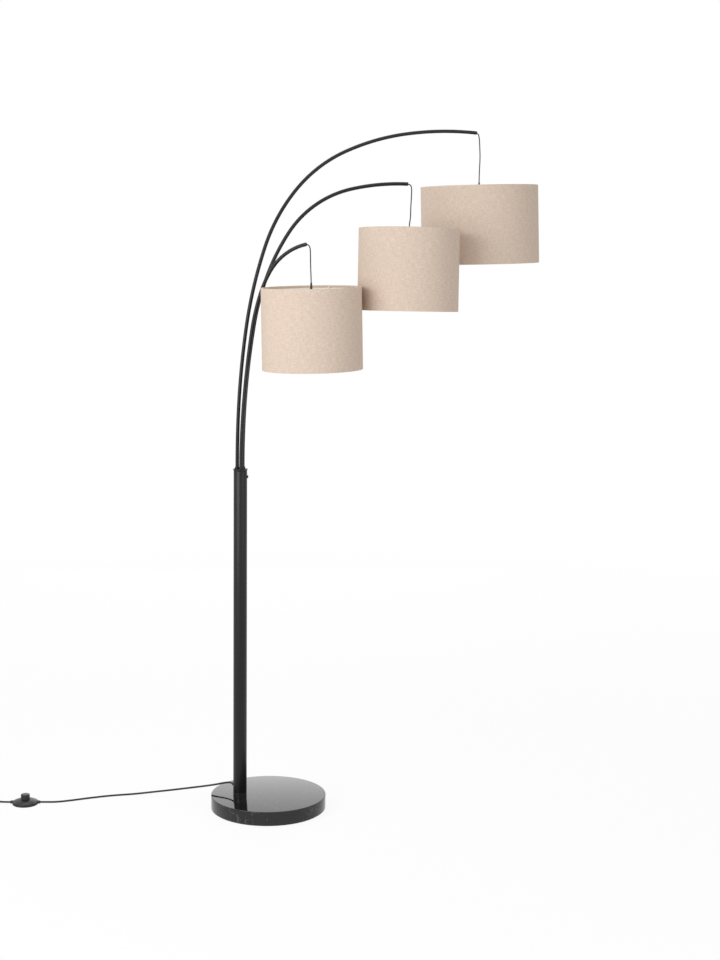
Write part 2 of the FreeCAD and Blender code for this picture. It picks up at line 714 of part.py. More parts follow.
def shade(name):
    """Drum of laminated fabric, with its wire rings wrapped in the turned-in rims."""
    radius = PENDANTS[name]["shade_diameter"] / 2
    height = PENDANTS[name]["shade_height"]
    drum = rod(radius, Vector(0, 0, -height), Vector(0, 0, 0))
    return drum.cut(shade_inside(name))


def spider(name):
    """Hub ring under the lampholder's cap, carried by three wires from the top rim."""
    top = -SPIDER_DROP - TOUCH
    bottom = top - SPIDER_HUB_THICKNESS
    inner = HOLDER_THREAD_DIAMETER / 2 + SEAT
    outer = SPIDER_HUB_DIAMETER / 2
    carrier = flat_lathe([(inner, bottom), (outer, bottom), (outer, top), (inner, top)], PENDANT_SIDES)
    inside = shade_inside(name)
    rim = PENDANTS[name]["shade_diameter"] / 2
    for number in range(SPIDER_WIRES):
        outwards = bearing_vector(90 + number * 360 / SPIDER_WIRES)
        start = outwards * (outer - SPIDER_WIRE / 2) + Vector(0, 0, (top + bottom) / 2)
        end = outwards * rim + Vector(0, 0, -SPIDER_RIM_DEPTH)
        wire = taper(CORD_SIDES, SPIDER_WIRE, SPIDER_WIRE, start, end)
        carrier = carrier.fuse(wire.common(inside))
    return carrier


def shade_ring():
    """Threaded ring that clamps the spider against the lampholder's cap."""
    top = -SPIDER_DROP - SPIDER_HUB_THICKNESS - 2 * TOUCH
    bottom = top - RING_HEIGHT
    inner = HOLDER_THREAD_DIAMETER / 2 + TOUCH
    outer = RING_DIAMETER / 2
    return flat_lathe([(inner, bottom), (outer, bottom), (outer, top), (inner, top)], PENDANT_SIDES)


def bulb():
    """Frosted lamp: its cap in the lampholder's socket and its glass below."""
    skirt_bottom = -SPIDER_DROP - HOLDER_SKIRT_HEIGHT
    cap_top = skirt_bottom + BULB_CAP_LENGTH
    cap = BULB_CAP_DIAMETER / 2
    glass = []
    for width, depth in BULB_GLASS_PROFILE:
        glass.append((width * BULB_DIAMETER / 2, skirt_bottom - depth * BULB_GLASS_LENGTH))
    neck = [(0, cap_top), (cap, cap_top), (cap, skirt_bottom - BULB_CAP_SHOWING)]
    return flat_lathe(neck + glass, PENDANT_SIDES)


# --------------------------------------------------------------------- foot switch
def switch_point(out, height):
    """Point on the switch's long axis, out from its centre."""
    return Vector(SWITCH_X + out, SWITCH_Y, height)


def switch_base():
    """Bottom plate of the foot switch, with the two cord nubs."""
    radius = SWITCH_DIAMETER / 2
    plate = flat_lathe([(0, 0), (radius, 0), (radius, SWITCH_BASE_THICKNESS), (0, SWITCH_BASE_THICKNESS)],
                       SWITCH_SIDES, (SWITCH_X, SWITCH_Y))
    for side in (-1, 1):
        nub = taper(SMALL_SIDES, SWITCH_NUB_DIAMETER, SWITCH_NUB_DIAMETER,
                    switch_point(side * (radius - SWITCH_NUB_LENGTH), SWITCH_ENTRY_HEIGHT),
                    switch_point(side * (radius + SWITCH_NUB_LENGTH), SWITCH_ENTRY_HEIGHT))
        plate = plate.fuse(nub)
    return plate


def switch_cover():
    """Domed cover of the foot switch, open in the middle for the button."""
    radius = SWITCH_DIAMETER / 2
    hole = BUTTON_DIAMETER / 2 + SEAT
    bottom = SWITCH_BASE_THICKNESS + TOUCH
    wall = SWITCH_COVER_WALL
    under = SWITCH_COVER_TOP - wall
    cover = flat_lathe([
        (radius - wall, bottom), (radius, bottom),
        (radius - SWITCH_WALL_LEAN, bottom + SWITCH_WALL_HEIGHT),
        (radius - SWITCH_DOME_INSET, SWITCH_COVER_TOP - SWITCH_DOME_DROP),
        (hole, SWITCH_COVER_TOP), (hole, under),
        (radius - SWITCH_DOME_INSET - wall / 2, under - SWITCH_DOME_DROP),
        (radius - wall - SWITCH_WALL_LEAN, bottom + SWITCH_WALL_HEIGHT - wall / 2),
    ], SWITCH_SIDES, (SWITCH_X, SWITCH_Y))
    space = SWITCH_NUB_DIAMETER + 4 * TOUCH
    nub_space = taper(SMALL_SIDES, space, space, switch_point(-SWITCH_DIAMETER, SWITCH_ENTRY_HEIGHT),
                      switch_point(SWITCH_DIAMETER, SWITCH_ENTRY_HEIGHT))
    return cover.cut(nub_space)


def switch_button():
    """Round press button with a flange that keeps it under the cover."""
    radius = BUTTON_DIAMETER / 2
    flange = BUTTON_FLANGE_DIAMETER / 2
    flange_top = BUTTON_FLANGE_BOTTOM + BUTTON_FLANGE_HEIGHT
    recess = SPRING_DIAMETER / 2 + SEAT
    recess_top = BUTTON_FLANGE_BOTTOM + SPRING_RECESS_DEPTH
    return flat_lathe([
        (recess, BUTTON_FLANGE_BOTTOM), (flange, BUTTON_FLANGE_BOTTOM), (flange, flange_top),
        (radius, flange_top), (radius, BUTTON_TOP - 1), (radius - 1, BUTTON_TOP), (0, BUTTON_TOP),
        (0, recess_top), (recess, recess_top),
    ], SWITCH_SIDES, (SWITCH_X, SWITCH_Y))


def switch_spring():
    """Return spring as a plain sleeve, from the bottom plate to the button's recess."""
    outer = SPRING_DIAMETER / 2
    bottom = SWITCH_BASE_THICKNESS + TOUCH
    top = BUTTON_FLANGE_BOTTOM + SPRING_RECESS_DEPTH - SEAT
    inner = outer - SPRING_WALL
    return flat_lathe([(inner, bottom), (outer, bottom), (outer, top), (inner, top)],
                      SMALL_SIDES, (SWITCH_X, SWITCH_Y))


# ---------------------------------------------------------------------- mains cord
def mains_cord():
    """Free mains cord from the gland, over the base's edge and along the floor to the switch."""
    start = gland_axis_point(GLAND_TIP_REACH + TOUCH)
    leaving = gland_axis_point(GLAND_TIP_REACH + CORD_END_RUN)
    end_reach = SWITCH_DIAMETER / 2 + SWITCH_NUB_LENGTH + TOUCH
    arriving = switch_point(end_reach + CORD_END_RUN, SWITCH_ENTRY_HEIGHT)
    end = switch_point(end_reach, SWITCH_ENTRY_HEIGHT)
    route = [Vector(*point) for point in MAINS_CORD_POINTS]
    points = [start, leaving] + route + [arriving, end]
    return cord_tube(points, MAINS_CORD_DIAMETER, "mains_cord")


def share(value):
    """Value kept between nothing and one."""
    return min(max(value, 0.0), 1.0)


def coil_state(turned):
    """Point of the coil's centre line and its direction, after a number of turns."""
    half_way = COIL_TURNS / 2
    radius = COIL_OUTER_RADIUS - COIL_PITCH * (half_way - abs(turned - half_way))
    radius += COIL_EXIT_WIDEN * share((turned - COIL_TURNS) / 0.5 + 1)
    height = COIL_FIRST_HEIGHT + COIL_LAYER_RISE * share((turned - half_way) / COIL_CLIMB_TURNS + 0.5)
    height -= COIL_EXIT_DROP * share((turned - COIL_TURNS) / 0.25 + 1)
    angle = math.radians(COIL_START_BEARING - 360 * turned)
    return Vector(COIL_X + radius * math.cos(angle), COIL_Y + radius * math.sin(angle), height)


def coil_path():
    """Edges of the coil: a spiral in, a climb and a spiral out, as biarcs of a quarter turn."""
    count = round(COIL_TURNS * 4)
    places = [COIL_TURNS * number / count for number in range(count + 1)]
    points = [coil_state(place) for place in places]
    directions = []
    for number, place in enumerate(places):
        angle = math.radians(COIL_START_BEARING - 360 * place)
        level = Vector(math.sin(angle), -math.cos(angle), 0)
        before = points[max(number - 1, 0)]
        after = points[min(number + 1, count)]
        radial = Vector(math.cos(angle), math.sin(angle), 0)
        centre = Vector(COIL_X, COIL_Y, 0)
        growth = (after - centre).dot(bearing_unit(after - centre))
        growth -= (before - centre).dot(bearing_unit(before - centre))
        span = (min(number + 1, count) - max(number - 1, 0)) * 2 * math.pi * COIL_TURNS / count
        lift = 0.0 if number in (0, count) else (after.z - before.z) / span
        outward = 0.0 if number in (0, count) else growth / span
        radius = (points[number] - centre).dot(bearing_unit(points[number] - centre))
        directions.append((level * radius + radial * outward + Vector(0, 0, lift)).normalize())
    edges = []
    for number in range(count):
        edges += biarc(points[number], directions[number], points[number + 1], directions[number + 1])
    start_run = points[0] - directions[0] * MAINS_CORD_DIAMETER
    end_run = points[-1] + directions[-1] * MAINS_CORD_DIAMETER
    edges.insert(0, Part.LineSegment(start_run, points[0]).toShape())
    edges.append(Part.LineSegment(points[-1], end_run).toShape())
    return edges, start_run, end_run, directions[0], directions[-1]


def bearing_unit(vector):
    """Level unit vector towards a point."""
    return Vector(vector.x, vector.y, 0).normalize()


def cord_coil():
    """Put-away cord: one unbroken tube wound in two layers."""
    edges, start, end, first_direction, last_direction = coil_path()
    radius = MAINS_CORD_DIAMETER / 2
    section = polygon_wire(CORD_SIDES, radius, start, first_direction)
    solid = sweep(edges, section)
    length = path_length(edges)
    report_volume("cord_coil", solid, polygon_area(CORD_SIDES, radius), length)
    print("cord_coil: length %.0f, least gap to itself %.2f"
          % (length, least_self_gap(edges, MAINS_CORD_DIAMETER)))
    return solid


def tail_cord():
    """Free cord from the foot switch to the coil."""
    start_reach = -SWITCH_DIAMETER / 2 - SWITCH_NUB_LENGTH - TOUCH
    start = switch_point(start_reach, SWITCH_ENTRY_HEIGHT)
    leaving = switch_point(start_reach - CORD_END_RUN, SWITCH_ENTRY_HEIGHT)
    coil_start, direction = coil_path()[1], coil_path()[3]
    end = coil_start - direction * TOUCH
    arriving = end - direction * CORD_END_RUN
    route = [Vector(*point) for point in TAIL_CORD_POINTS]
    points = [start, leaving] + route + [arriving, end]
    return cord_tube(points, MAINS_CORD_DIAMETER, "tail_cord")


def plug_frame():
    """Where the plug's cord grip begins, and the way that the plug points."""
    end, direction = coil_path()[2], coil_path()[4]
    return end + direction * TOUCH, bearing_unit(direction)


def plug_body():
    """Flat two-pin plug body with its tapered cord grip."""
    start, forward = plug_frame()
    side = Vector(forward.y, -forward.x, 0)
    rear = start + forward * PLUG_GRIP_LENGTH
    front = rear + forward * PLUG_LENGTH
    shoulder = front - forward * (PLUG_LENGTH * PLUG_SHOULDER_SHARE)
    half = PLUG_WIDTH / 2
    rear_half = PLUG_REAR_WIDTH / 2
    down = Vector(0, 0, -PLUG_THICKNESS / 2)
    outline = [
        rear - side * rear_half, shoulder - side * half, front - side * half,
        front + side * half, shoulder + side * half, rear + side * rear_half,
    ]
    corners = [point + down for point in outline]
    face = Part.Face(Part.makePolygon(corners + corners[:1]))
    body = face.extrude(Vector(0, 0, PLUG_THICKNESS))
    long_edges = [edge for edge in body.Edges if abs(edge.Vertexes[0].Z - edge.Vertexes[1].Z) < 1e-6]
    body = body.makeChamfer(PLUG_CHAMFER, long_edges)
    grip = taper(SMALL_SIDES, PLUG_GRIP_TIP, PLUG_GRIP_ROOT, start, rear + forward * 2)
    body = body.fuse(grip)
    for root in pin_rods(PIN_ROOT_DIAMETER, -PIN_ROOT_LENGTH, TOUCH):
        body = body.cut(root)
    return body


def pin_rods(diameter, back, tip):
    """A rod for each of the two pins, between two places along them from the body's front."""
    start, forward = plug_frame()
    side = Vector(forward.y, -forward.x, 0)
    front = start + forward * (PLUG_GRIP_LENGTH + PLUG_LENGTH)
    rods = []
    for sign in (-1, 1):
        place = front + side * (sign * PIN_SPACING / 2)
        rods.append(rod(diameter / 2, place + forward * back, place + forward * tip))
    return rods


def plug_pins():
    """Both round pins as one group, each with a narrower root inside the plug's body."""
    roots = pin_rods(PIN_ROOT_DIAMETER, -PIN_ROOT_LENGTH, TOUCH)
    bars = pin_rods(PIN_DIAMETER, TOUCH, TOUCH + PIN_LENGTH)
    for bar in bars:
        box = bar.BoundBox
        print("pin from y %.3f, at x %.3f, z %.3f" % (box.YMin, box.Center.x, box.Center.z))
    return Part.makeCompound([root.fuse(bar) for root, bar in zip(roots, bars)])


# ---------------------------------------------------------------------------- model
def all_pieces():
    """Every piece of the lamp, by its name."""
    pieces = {
        "marble_base": marble_base(),
        "base_felt": base_felt(),
        "base_bolt": base_bolt(),
        "base_washer": base_washer(),
        "pole_foot": pole_foot(),
        "pole_tube": pole_tube(),
        "cord_gland": cord_gland(),
        "inner_cord": inner_cord(),
        "arm_head": arm_head(),
        "terminal_block": terminal_block(),
        "lock_screw": lock_screw(),
        "mains_cord": mains_cord(),
        "switch_base": switch_base(),
        "switch_cover": switch_cover(),
        "switch_button": switch_button(),
        "switch_spring": switch_spring(),
        "tail_cord": tail_cord(),
        "cord_coil": cord_coil(),
        "plug_body": plug_body(),
        "plug_pins": plug_pins(),
    }
    for name, arm in ARMS.items():
        pieces[name + "_arm_tube"] = arm_tube(arm)
        pieces[name + "_tip_grommet"] = tip_grommet(arm)
        pieces[name + "_lamp_cord"] = lamp_cord(name)
        pieces[name + "_lampholder"] = hang(lampholder(name), name)
        pieces[name + "_spider"] = hang(spider(name), name)
        pieces[name + "_shade_ring"] = hang(shade_ring(), name)
        pieces[name + "_shade"] = hang(shade(name), name)
        pieces[name + "_bulb"] = hang(bulb(), name)
        tip, direction = arm_path(arm, ARM_FOOT + SEAT)[1:]
        print("%s arm tip at %.3f %.3f %.3f" % ((name,) + tuple(tip)))
        print("%s arm tip points along %.4f %.4f %.4f" % ((name,) + tuple(direction)))
    return pieces


os.makedirs("parts", exist_ok=True)
for piece_name, piece in all_pieces().items():
    if not piece.isValid():
        print("not valid:", piece_name)
    piece.exportStep("parts/%s.step" % piece_name)
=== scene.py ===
"""Looks of a tree floor lamp: a round marble base, an off-centre black pole, three arched
arms with a linen drum shade hanging from each, and a mains cord with a foot switch.

The lamp's frame has its origin at the centre of the base's underside, with +X to the right
along the middle arm, +Y to the back and +Z up. Sizes and outlines are in millimetres unless
they say otherwise. Vectors and meshes are in metres, and angles are in degrees.
"""

import logging
from dataclasses import dataclass, field
from enum import Enum
from math import atan2, cos, pi, radians, sin

import bmesh
import bpy
from bmesh.types import BMEdge, BMesh, BMVert
from bpy.types import ID, Curve, Material, Mesh, Node, NodeSocket, NodeTree, Object, World
from mathutils import Matrix, Vector


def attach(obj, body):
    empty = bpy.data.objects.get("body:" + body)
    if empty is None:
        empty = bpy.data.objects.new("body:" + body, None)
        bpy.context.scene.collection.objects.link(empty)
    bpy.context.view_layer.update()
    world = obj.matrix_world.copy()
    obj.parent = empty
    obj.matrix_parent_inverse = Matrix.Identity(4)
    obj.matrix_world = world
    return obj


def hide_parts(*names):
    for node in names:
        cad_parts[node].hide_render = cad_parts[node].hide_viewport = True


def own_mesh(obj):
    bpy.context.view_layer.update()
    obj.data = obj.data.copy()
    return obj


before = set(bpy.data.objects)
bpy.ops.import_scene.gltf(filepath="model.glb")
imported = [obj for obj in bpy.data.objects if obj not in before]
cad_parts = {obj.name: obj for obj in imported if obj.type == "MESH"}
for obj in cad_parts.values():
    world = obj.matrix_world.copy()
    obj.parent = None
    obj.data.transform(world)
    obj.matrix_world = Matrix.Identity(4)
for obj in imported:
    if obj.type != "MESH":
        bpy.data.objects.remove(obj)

LOG = logging.getLogger("tree_lamp")
MM = 0.001

# Faces round the slab and the shades, the pole and the switch, and the small turned parts.
WIDE_SIDES, SIDES, SMALL_SIDES = 160, 72, 64
# Most of a noise texture lies between these values.
NOISE_RANGE = (0.3, 0.7)
WHOLE_RANGE = (0.0, 1.0)

# Largest share of a side that a rounding takes.
SIDE_SHARE = 0.45

Pair = tuple[float, float]
Triple = tuple[float, float, float]
# Corners of an outline as (radius, height).
Profile = tuple[Pair, ...]
Corners = list[Pair]


# ---- small helpers
def millimetres(*values: float) -> Vector:
    """A point given in millimetres, as a vector in metres."""
    return Vector(values) * MM


def up(height: float) -> Vector:
    """Upright vector in metres, of a length in millimetres."""
    return Vector((0, 0, height * MM))


def level(bearing: float) -> Vector:
    """Level unit vector towards a bearing, counted from +X towards +Y."""
    return Vector((cos(radians(bearing)), sin(radians(bearing)), 0))


def share(value: float) -> float:
    """The value, kept between nought and one."""
    return min(max(value, 0.0), 1.0)


def lifted(profile: Profile, height: float) -> Corners:
    """The corners of a profile, moved up."""
    return [(radius, z + height) for radius, z in profile]


def link_object(name: str, data: ID) -> Object:
    """Make an object and link it to the scene.

    Args:
        name: The object's name.
        data: Its mesh, curve, light or camera.

    Returns:
        The object.
    """
    made = bpy.data.objects.new(name, data)
    bpy.context.scene.collection.objects.link(made)
    return made


def softened(outline: Profile | Corners, radius: float, segments: int = 3,
             closed: bool = False) -> list[Vector]:
    """Round the corners of an outline.

    Args:
        outline: The outline's corners.
        radius: The rounding's reach along both sides, kept under half of each.
        segments: Pieces in each rounding.
        closed: A last side runs back to the first corner.

    Returns:
        Points of the rounded outline in the X-Z plane. The ends of an open one stay as they
        are, and a closed one starts in the middle of its last side.
    """
    if closed:
        middle = tuple((first + last) / 2 for first, last in zip(outline[0], outline[-1]))
        return softened([middle, *outline, middle], radius, segments)[:-1]
    corners = [Vector((r * MM, 0.0, z * MM)) for r, z in outline]
    points = [corners[0]]
    for before, corner, after in zip(corners, corners[1:], corners[2:]):
        reach = min(radius * MM, SIDE_SHARE * (corner - before).length,
                    SIDE_SHARE * (after - corner).length)
        start = corner + (before - corner).normalized() * reach
        end = corner + (after - corner).normalized() * reach
        for step in range(segments + 1):
            t = step / segments
            points.append(start * (1 - t) ** 2 + corner * 2 * t * (1 - t) + end * t ** 2)
    points.append(corners[-1])
    return points


def turned(points: list[Vector], sides: int, closed: bool = False) -> BMesh:
    """Spin an outline round the Z axis.

    Args:
        points: The outline in the X-Z plane.
        sides: Faces round the axis.
        closed: Join the outline's last point to its first.

    Returns:
        The turned shape.
    """
    bm = bmesh.new()
    verts = [bm.verts.new(point) for point in points]
    edges = [bm.edges.new(pair) for pair in zip(verts, verts[1:])]
    if closed:
        edges.append(bm.edges.new((verts[-1], verts[0])))
    bmesh.ops.spin(bm, geom=verts + edges, cent=(0, 0, 0), axis=(0, 0, 1), dvec=(0, 0, 0),
                   angle=2 * pi, steps=sides, use_merge=True, use_normal_flip=False,
                   use_duplicate=False)
    bmesh.ops.remove_doubles(bm, verts=bm.verts, dist=1e-6)
    return bm


def wrap(bm: BMesh, radius: float) -> None:
    """Give a turned shape a UV map in metres: along its round and along its height.

    Args:
        bm: The shape, turned round the Z axis.
        radius: Radius at which the round is measured.
    """
    layer = bm.loops.layers.uv.new("cloth")
    for face in bm.faces:
        centre = face.calc_center_median()
        middle = atan2(centre.y, centre.x)
        for loop in face.loops:
            turn = atan2(loop.vert.co.y, loop.vert.co.x) - middle
            turn = (turn + pi) % (2 * pi) - pi
            loop[layer].uv = ((middle + turn) * radius * MM, loop.vert.co.z)


def aimed(start: Vector, direction: Vector) -> Matrix:
    """Matrix that stands a shape's Z axis along a direction, with its origin at start."""
    return Matrix.Translation(start) @ direction.to_track_quat("Z", "Y").to_matrix().to_4x4()


def add_rod(bm: BMesh, start: Vector, end: Vector, radius: float, sides: int) -> None:
    """Add a round rod to a shape, between the centres of its two ends."""
    rod = bmesh.ops.create_cone(bm, cap_ends=True, segments=sides, radius1=radius * MM,
                                radius2=radius * MM, depth=(end - start).length)
    bmesh.ops.transform(bm, matrix=aimed((start + end) / 2, end - start), verts=rod["verts"])


def ribs(span: Pair, radii: Pair, count: int,
         heights: Triple, depth: float) -> Corners:
    """Outline of the rings moulded round the boot of a cord.

    Args:
        span: Height where the first ring starts and where the last ends.
        radii: Radius of the first ring, and the radius towards which they go.
        count: Number of rings.
        heights: Heights over a ring's start where its crest, its slope and its groove end.
        depth: Depth of the groove.

    Returns:
        The corners, upwards.
    """
    crest, slope, groove = heights
    corners = []
    for number in range(count):
        low, radius = (a + (b - a) * number / count for a, b in (span, radii))
        corners += [(radius, low), (radius, low + crest), (radius - depth, low + slope),
                    (radius - depth, low + groove)]
    return corners


def finished_mesh(name: str, bm: BMesh, place: Matrix, sharp: float) -> Mesh:
    """Turn a bmesh into a mesh with its normals outwards, and free it.

    Args:
        name: The mesh's name.
        bm: The shape.
        place: From the shape's own frame to the lamp's.
        sharp: Edges that turn by more than this stay sharp.

    Returns:
        The mesh.
    """
    bmesh.ops.transform(bm, matrix=place, verts=bm.verts)
    bmesh.ops.recalc_face_normals(bm, faces=bm.faces)
    mesh = bpy.data.meshes.new(name)
    bm.to_mesh(mesh)
    bm.free()
    mesh.polygons.foreach_set("use_smooth", [True] * len(mesh.polygons))
    mesh.set_sharp_from_angle(angle=radians(sharp))
    return mesh


def cord_curve(name: str, points: list[Vector], diameter: float) -> Curve:
    """Draw a cord as a smooth curve.

    Args:
        name: The curve's name.
        points: Its control points.
        diameter: The cord's diameter.

    Returns:
        The curve.
    """
    curve = bpy.data.curves.new(name, "CURVE")
    curve.dimensions = "3D"
    curve.bevel_depth = diameter * MM / 2
    curve.bevel_resolution = 4
    curve.use_fill_caps = True
    curve.resolution_u = 10
    spline = curve.splines.new("NURBS")
    spline.points.add(len(points) - 1)
    for control, point in zip(spline.points, points):
        control.co = (*point, 1.0)
    spline.order_u = 3
    spline.use_endpoint_u = True
    return curve


# ---- shader nodes
def linear(hex_colour: str) -> tuple[float, float, float, float]:
    """Turn an sRGB hex colour into a linear colour.

    Args:
        hex_colour: Six hex digits, such as "D8C9B8".

    Returns:
        Linear red, green, blue and an alpha of one.
    """
    parts = []
    for start in (0, 2, 4):
        value = int(hex_colour[start:start + 2], 16) / 255
        parts.append(value / 12.92 if value <= 0.04045 else ((value + 0.055) / 1.055) ** 2.4)
    return (parts[0], parts[1], parts[2], 1.0)


def add_node(tree: NodeTree, kind: str, settings: dict | None = None,
             inputs: dict | None = None) -> Node:
    """Add a node, set its properties and fill or link its inputs.

    Args:
        tree: The node tree that gets it.
        kind: The node's type name.
        settings: Property names and their values.
        inputs: Input names or numbers, each with a value, an output socket, or a node whose
            first output feeds it.

    Returns:
        The new node.
    """
    node = tree.nodes.new(kind)
    for name, value in (settings or {}).items():
        setattr(node, name, value)
    for key, value in (inputs or {}).items():
        if isinstance(value, Node):
            value = value.outputs[0]
        if isinstance(value, NodeSocket):
            tree.links.new(value, node.inputs[key])
        else:
            node.inputs[key].default_value = value
    return node


def maths(tree: NodeTree, operation: str, *values: object) -> Node:
    """Add a node that works out one, two or three values."""
    return add_node(tree, "ShaderNodeMath", {"operation": operation}, dict(enumerate(values)))


def noise(tree: NodeTree, place: object, scale: float, detail: float,
          roughness: float = 0.5) -> Node:
    """Add a noise texture with so many patches per metre."""
    return add_node(tree, "ShaderNodeTexNoise", inputs={
        "Vector": place, "Scale": scale, "Detail": detail, "Roughness": roughness})


def remap(tree: NodeTree, value: object, source: Pair, target: Pair) -> Node:
    """Add a node that stretches one range of values to another."""
    return add_node(tree, "ShaderNodeMapRange", inputs={
        "Value": value, "From Min": source[0], "From Max": source[1],
        "To Min": target[0], "To Max": target[1]})


def blend(tree: NodeTree, factor: object, first: object, second: object) -> NodeSocket:
    """Add a node that mixes two colours, and give its colour output."""
    node = add_node(tree, "ShaderNodeMix", {"data_type": "RGBA"}, {
        "Factor": factor, 6: first, 7: second})
    return node.outputs[2]


def bare_tree(owner: Material | World) -> NodeTree:
    """Turn on the nodes of something and clear them.

    Args:
        owner: The material or the world.

    Returns:
        Its empty tree.
    """
    owner.use_nodes = True
    owner.node_tree.nodes.clear()
    return owner.node_tree


def seen_rays(tree: NodeTree) -> Node:
    """Add nodes that give one for rays from the camera, also by way of a mirror."""
    path = add_node(tree, "ShaderNodeLightPath")
    return maths(tree, "MAXIMUM", path.outputs["Is Camera Ray"], path.outputs["Is Glossy Ray"])


# ---- finishes
@dataclass(frozen=True)
class Finish:
    """A plain moulded, painted or plated surface with a fine grain."""

    label: str
    colour: str  # sRGB hex colour
    slot: str  # the record's material slot
    roughness: float = 0.5
    metallic: float = 0.0  # one for bare metal
    grain: float = 1.0  # size of the surface's grain
    depth: float = 0.02  # height of the grain
    tone: float = 0.08  # share by which the colour wanders from place to place
    ior: float = 1.5  # index of refraction; metals keep the default
    clouds: float = 18.0  # patches of the wandering colour per metre
    uneven: float = 0.1  # share by which the roughness wanders
    relief: float = 0.6

    def build(self) -> Material:
        """Make the material.

        Returns:
            The material.
        """
        material = bpy.data.materials.new(self.label)
        tree = bare_tree(material)
        shader = add_node(tree, "ShaderNodeBsdfPrincipled", inputs={
            "Metallic": self.metallic, "IOR": self.ior, **self.dress(tree)})
        add_node(tree, "ShaderNodeOutputMaterial", inputs={"Surface": shader})
        return material

    def dress(self, tree: NodeTree) -> dict[str, object]:
        """Add colour, roughness and relief.

        Args:
            tree: The material's nodes.

        Returns:
            What feeds the shader's inputs, by their names.
        """
        place = add_node(tree, "ShaderNodeTexCoord").outputs["Object"]
        speckle = noise(tree, place, 1 / (self.grain * MM), 3.0)
        cloud = noise(tree, place, self.clouds, 2.0)
        shade = remap(tree, cloud, NOISE_RANGE, (1 - self.tone, 1 + self.tone))
        tint = add_node(tree, "ShaderNodeVectorMath", {"operation": "SCALE"}, {
            0: linear(self.colour)[:3], "Scale": shade})
        smooth = self.roughness * (1 - self.uneven)
        dull = min(1.0, self.roughness * (1 + self.uneven))
        bump = add_node(tree, "ShaderNodeBump", inputs={
            "Height": speckle, "Distance": self.depth * MM, "Strength": self.relief})
        return {"Base Color": tint, "Normal": bump,
                "Roughness": remap(tree, speckle, NOISE_RANGE, (smooth, dull))}


@dataclass(frozen=True)
class PolishedMarble(Finish):
    """Dark grey marble, sawn and polished: a near mirror with thin pale veins in it."""

    clouds: float = 22.0
    uneven: float = 0.2
    cloud_colour: str = "1D1C1F"  # colour of the paler clouds
    vein_colour: str = "8A888B"
    vein_spacing: float = 75.0  # rough distance between veins
    vein_width: float = 0.005  # share of that distance that a vein takes
    vein_strength: float = 0.7  # how far a vein's middle takes on its colour
    folds: float = 14.0  # folds of the pattern per metre
    fold_reach: float = 0.09  # how far they push it, in metres
    specks: float = 420.0  # grains of the stone per metre
    # Noise values between which a grain shows up as a speck.
    speck_range: Pair = (0.7, 0.76)
    speck_strength: float = 0.8  # how far a speck takes on the veins' colour

    def dress(self, tree: NodeTree) -> dict[str, object]:
        """Add clouds, veins and specks below an even polish.

        Args:
            tree: The material's nodes.

        Returns:
            What feeds the shader's inputs, by their names.
        """
        place = add_node(tree, "ShaderNodeTexCoord").outputs["Object"]
        fold = noise(tree, place, self.folds, 5.0)
        bend = add_node(tree, "ShaderNodeVectorMath", {"operation": "MULTIPLY_ADD"}, {
            0: fold.outputs["Color"], 1: (self.fold_reach,) * 3, 2: place})
        cloud = noise(tree, bend, self.clouds, 6.0, 0.6)
        crack = noise(tree, bend, 1 / (self.vein_spacing * MM), 4.0)
        # A vein runs where the noise crosses its middle value.
        distance = maths(tree, "ABSOLUTE", maths(tree, "SUBTRACT", crack, 0.5))
        vein = remap(tree, distance, (0.0, self.vein_width), (self.vein_strength, 0.0))
        speck = remap(tree, noise(tree, place, self.specks, 2.0), self.speck_range,
                      (0, self.speck_strength))
        light = maths(tree, "MAXIMUM", maths(tree, "MULTIPLY", vein, cloud), speck)
        ground = blend(tree, cloud, linear(self.colour), linear(self.cloud_colour))
        smooth, dull = self.roughness * (1 - self.uneven), self.roughness * (1 + self.uneven)
        return {"Base Color": blend(tree, light, ground, linear(self.vein_colour)),
                "Roughness": remap(tree, cloud, WHOLE_RANGE, (smooth, dull))}


@dataclass(frozen=True)
class WovenCloth(Finish):
    """Cloth laminated on a stiff backing, seen as crossing threads with thicker slubs."""

    relief: float = 0.7
    thread: float = 1.1
    wander: float = 0.6  # how far the threads stray from straight
    slub: float = 13.0  # length of the thicker stretches of thread
    slub_colour: str = "CDB8A6"  # colour of those stretches
    # Noise values between which a thread turns into a slub.
    slub_range: Pair = (0.75, 1.25)

    def dress(self, tree: NodeTree) -> dict[str, object]:
        """Add warp, weft and slubs on the piece's own UV map, which is in metres.

        Args:
            tree: The material's nodes.

        Returns:
            What feeds the shader's inputs, by their names.
        """
        place = add_node(tree, "ShaderNodeUVMap", {"uv_map": "cloth"})
        # A wave texture of scale one has twenty bands in two pi metres.
        bands = [add_node(tree, "ShaderNodeTexWave", {"bands_direction": direction}, {
            "Vector": place, "Scale": 2 * pi / (20 * self.thread * MM),
            "Distortion": self.wander, "Detail": 1.0}).outputs["Fac"] for direction in "XY"]
        weave = maths(tree, "MULTIPLY", *bands)
        along, across = 1 / (self.slub * MM), 1 / (2 * self.thread * MM)
        slubs = []
        for scale in ((along, across, 1.0), (across, along, 1.0)):
            stretch = add_node(tree, "ShaderNodeMapping", inputs={"Vector": place, "Scale": scale})
            slubs.append(noise(tree, stretch, 1.0, 2.0))
        spread = remap(tree, maths(tree, "ADD", *slubs), self.slub_range, WHOLE_RANGE)
        bump = add_node(tree, "ShaderNodeBump", inputs={
            "Height": maths(tree, "ADD", weave, spread), "Distance": self.depth * MM,
            "Strength": self.relief})
        smooth = self.roughness * (1 - self.uneven)
        return {"Base Color": blend(tree, spread, linear(self.colour), linear(self.slub_colour)),
                "Roughness": remap(tree, weave, WHOLE_RANGE, (self.roughness, smooth)),
                "Normal": bump}


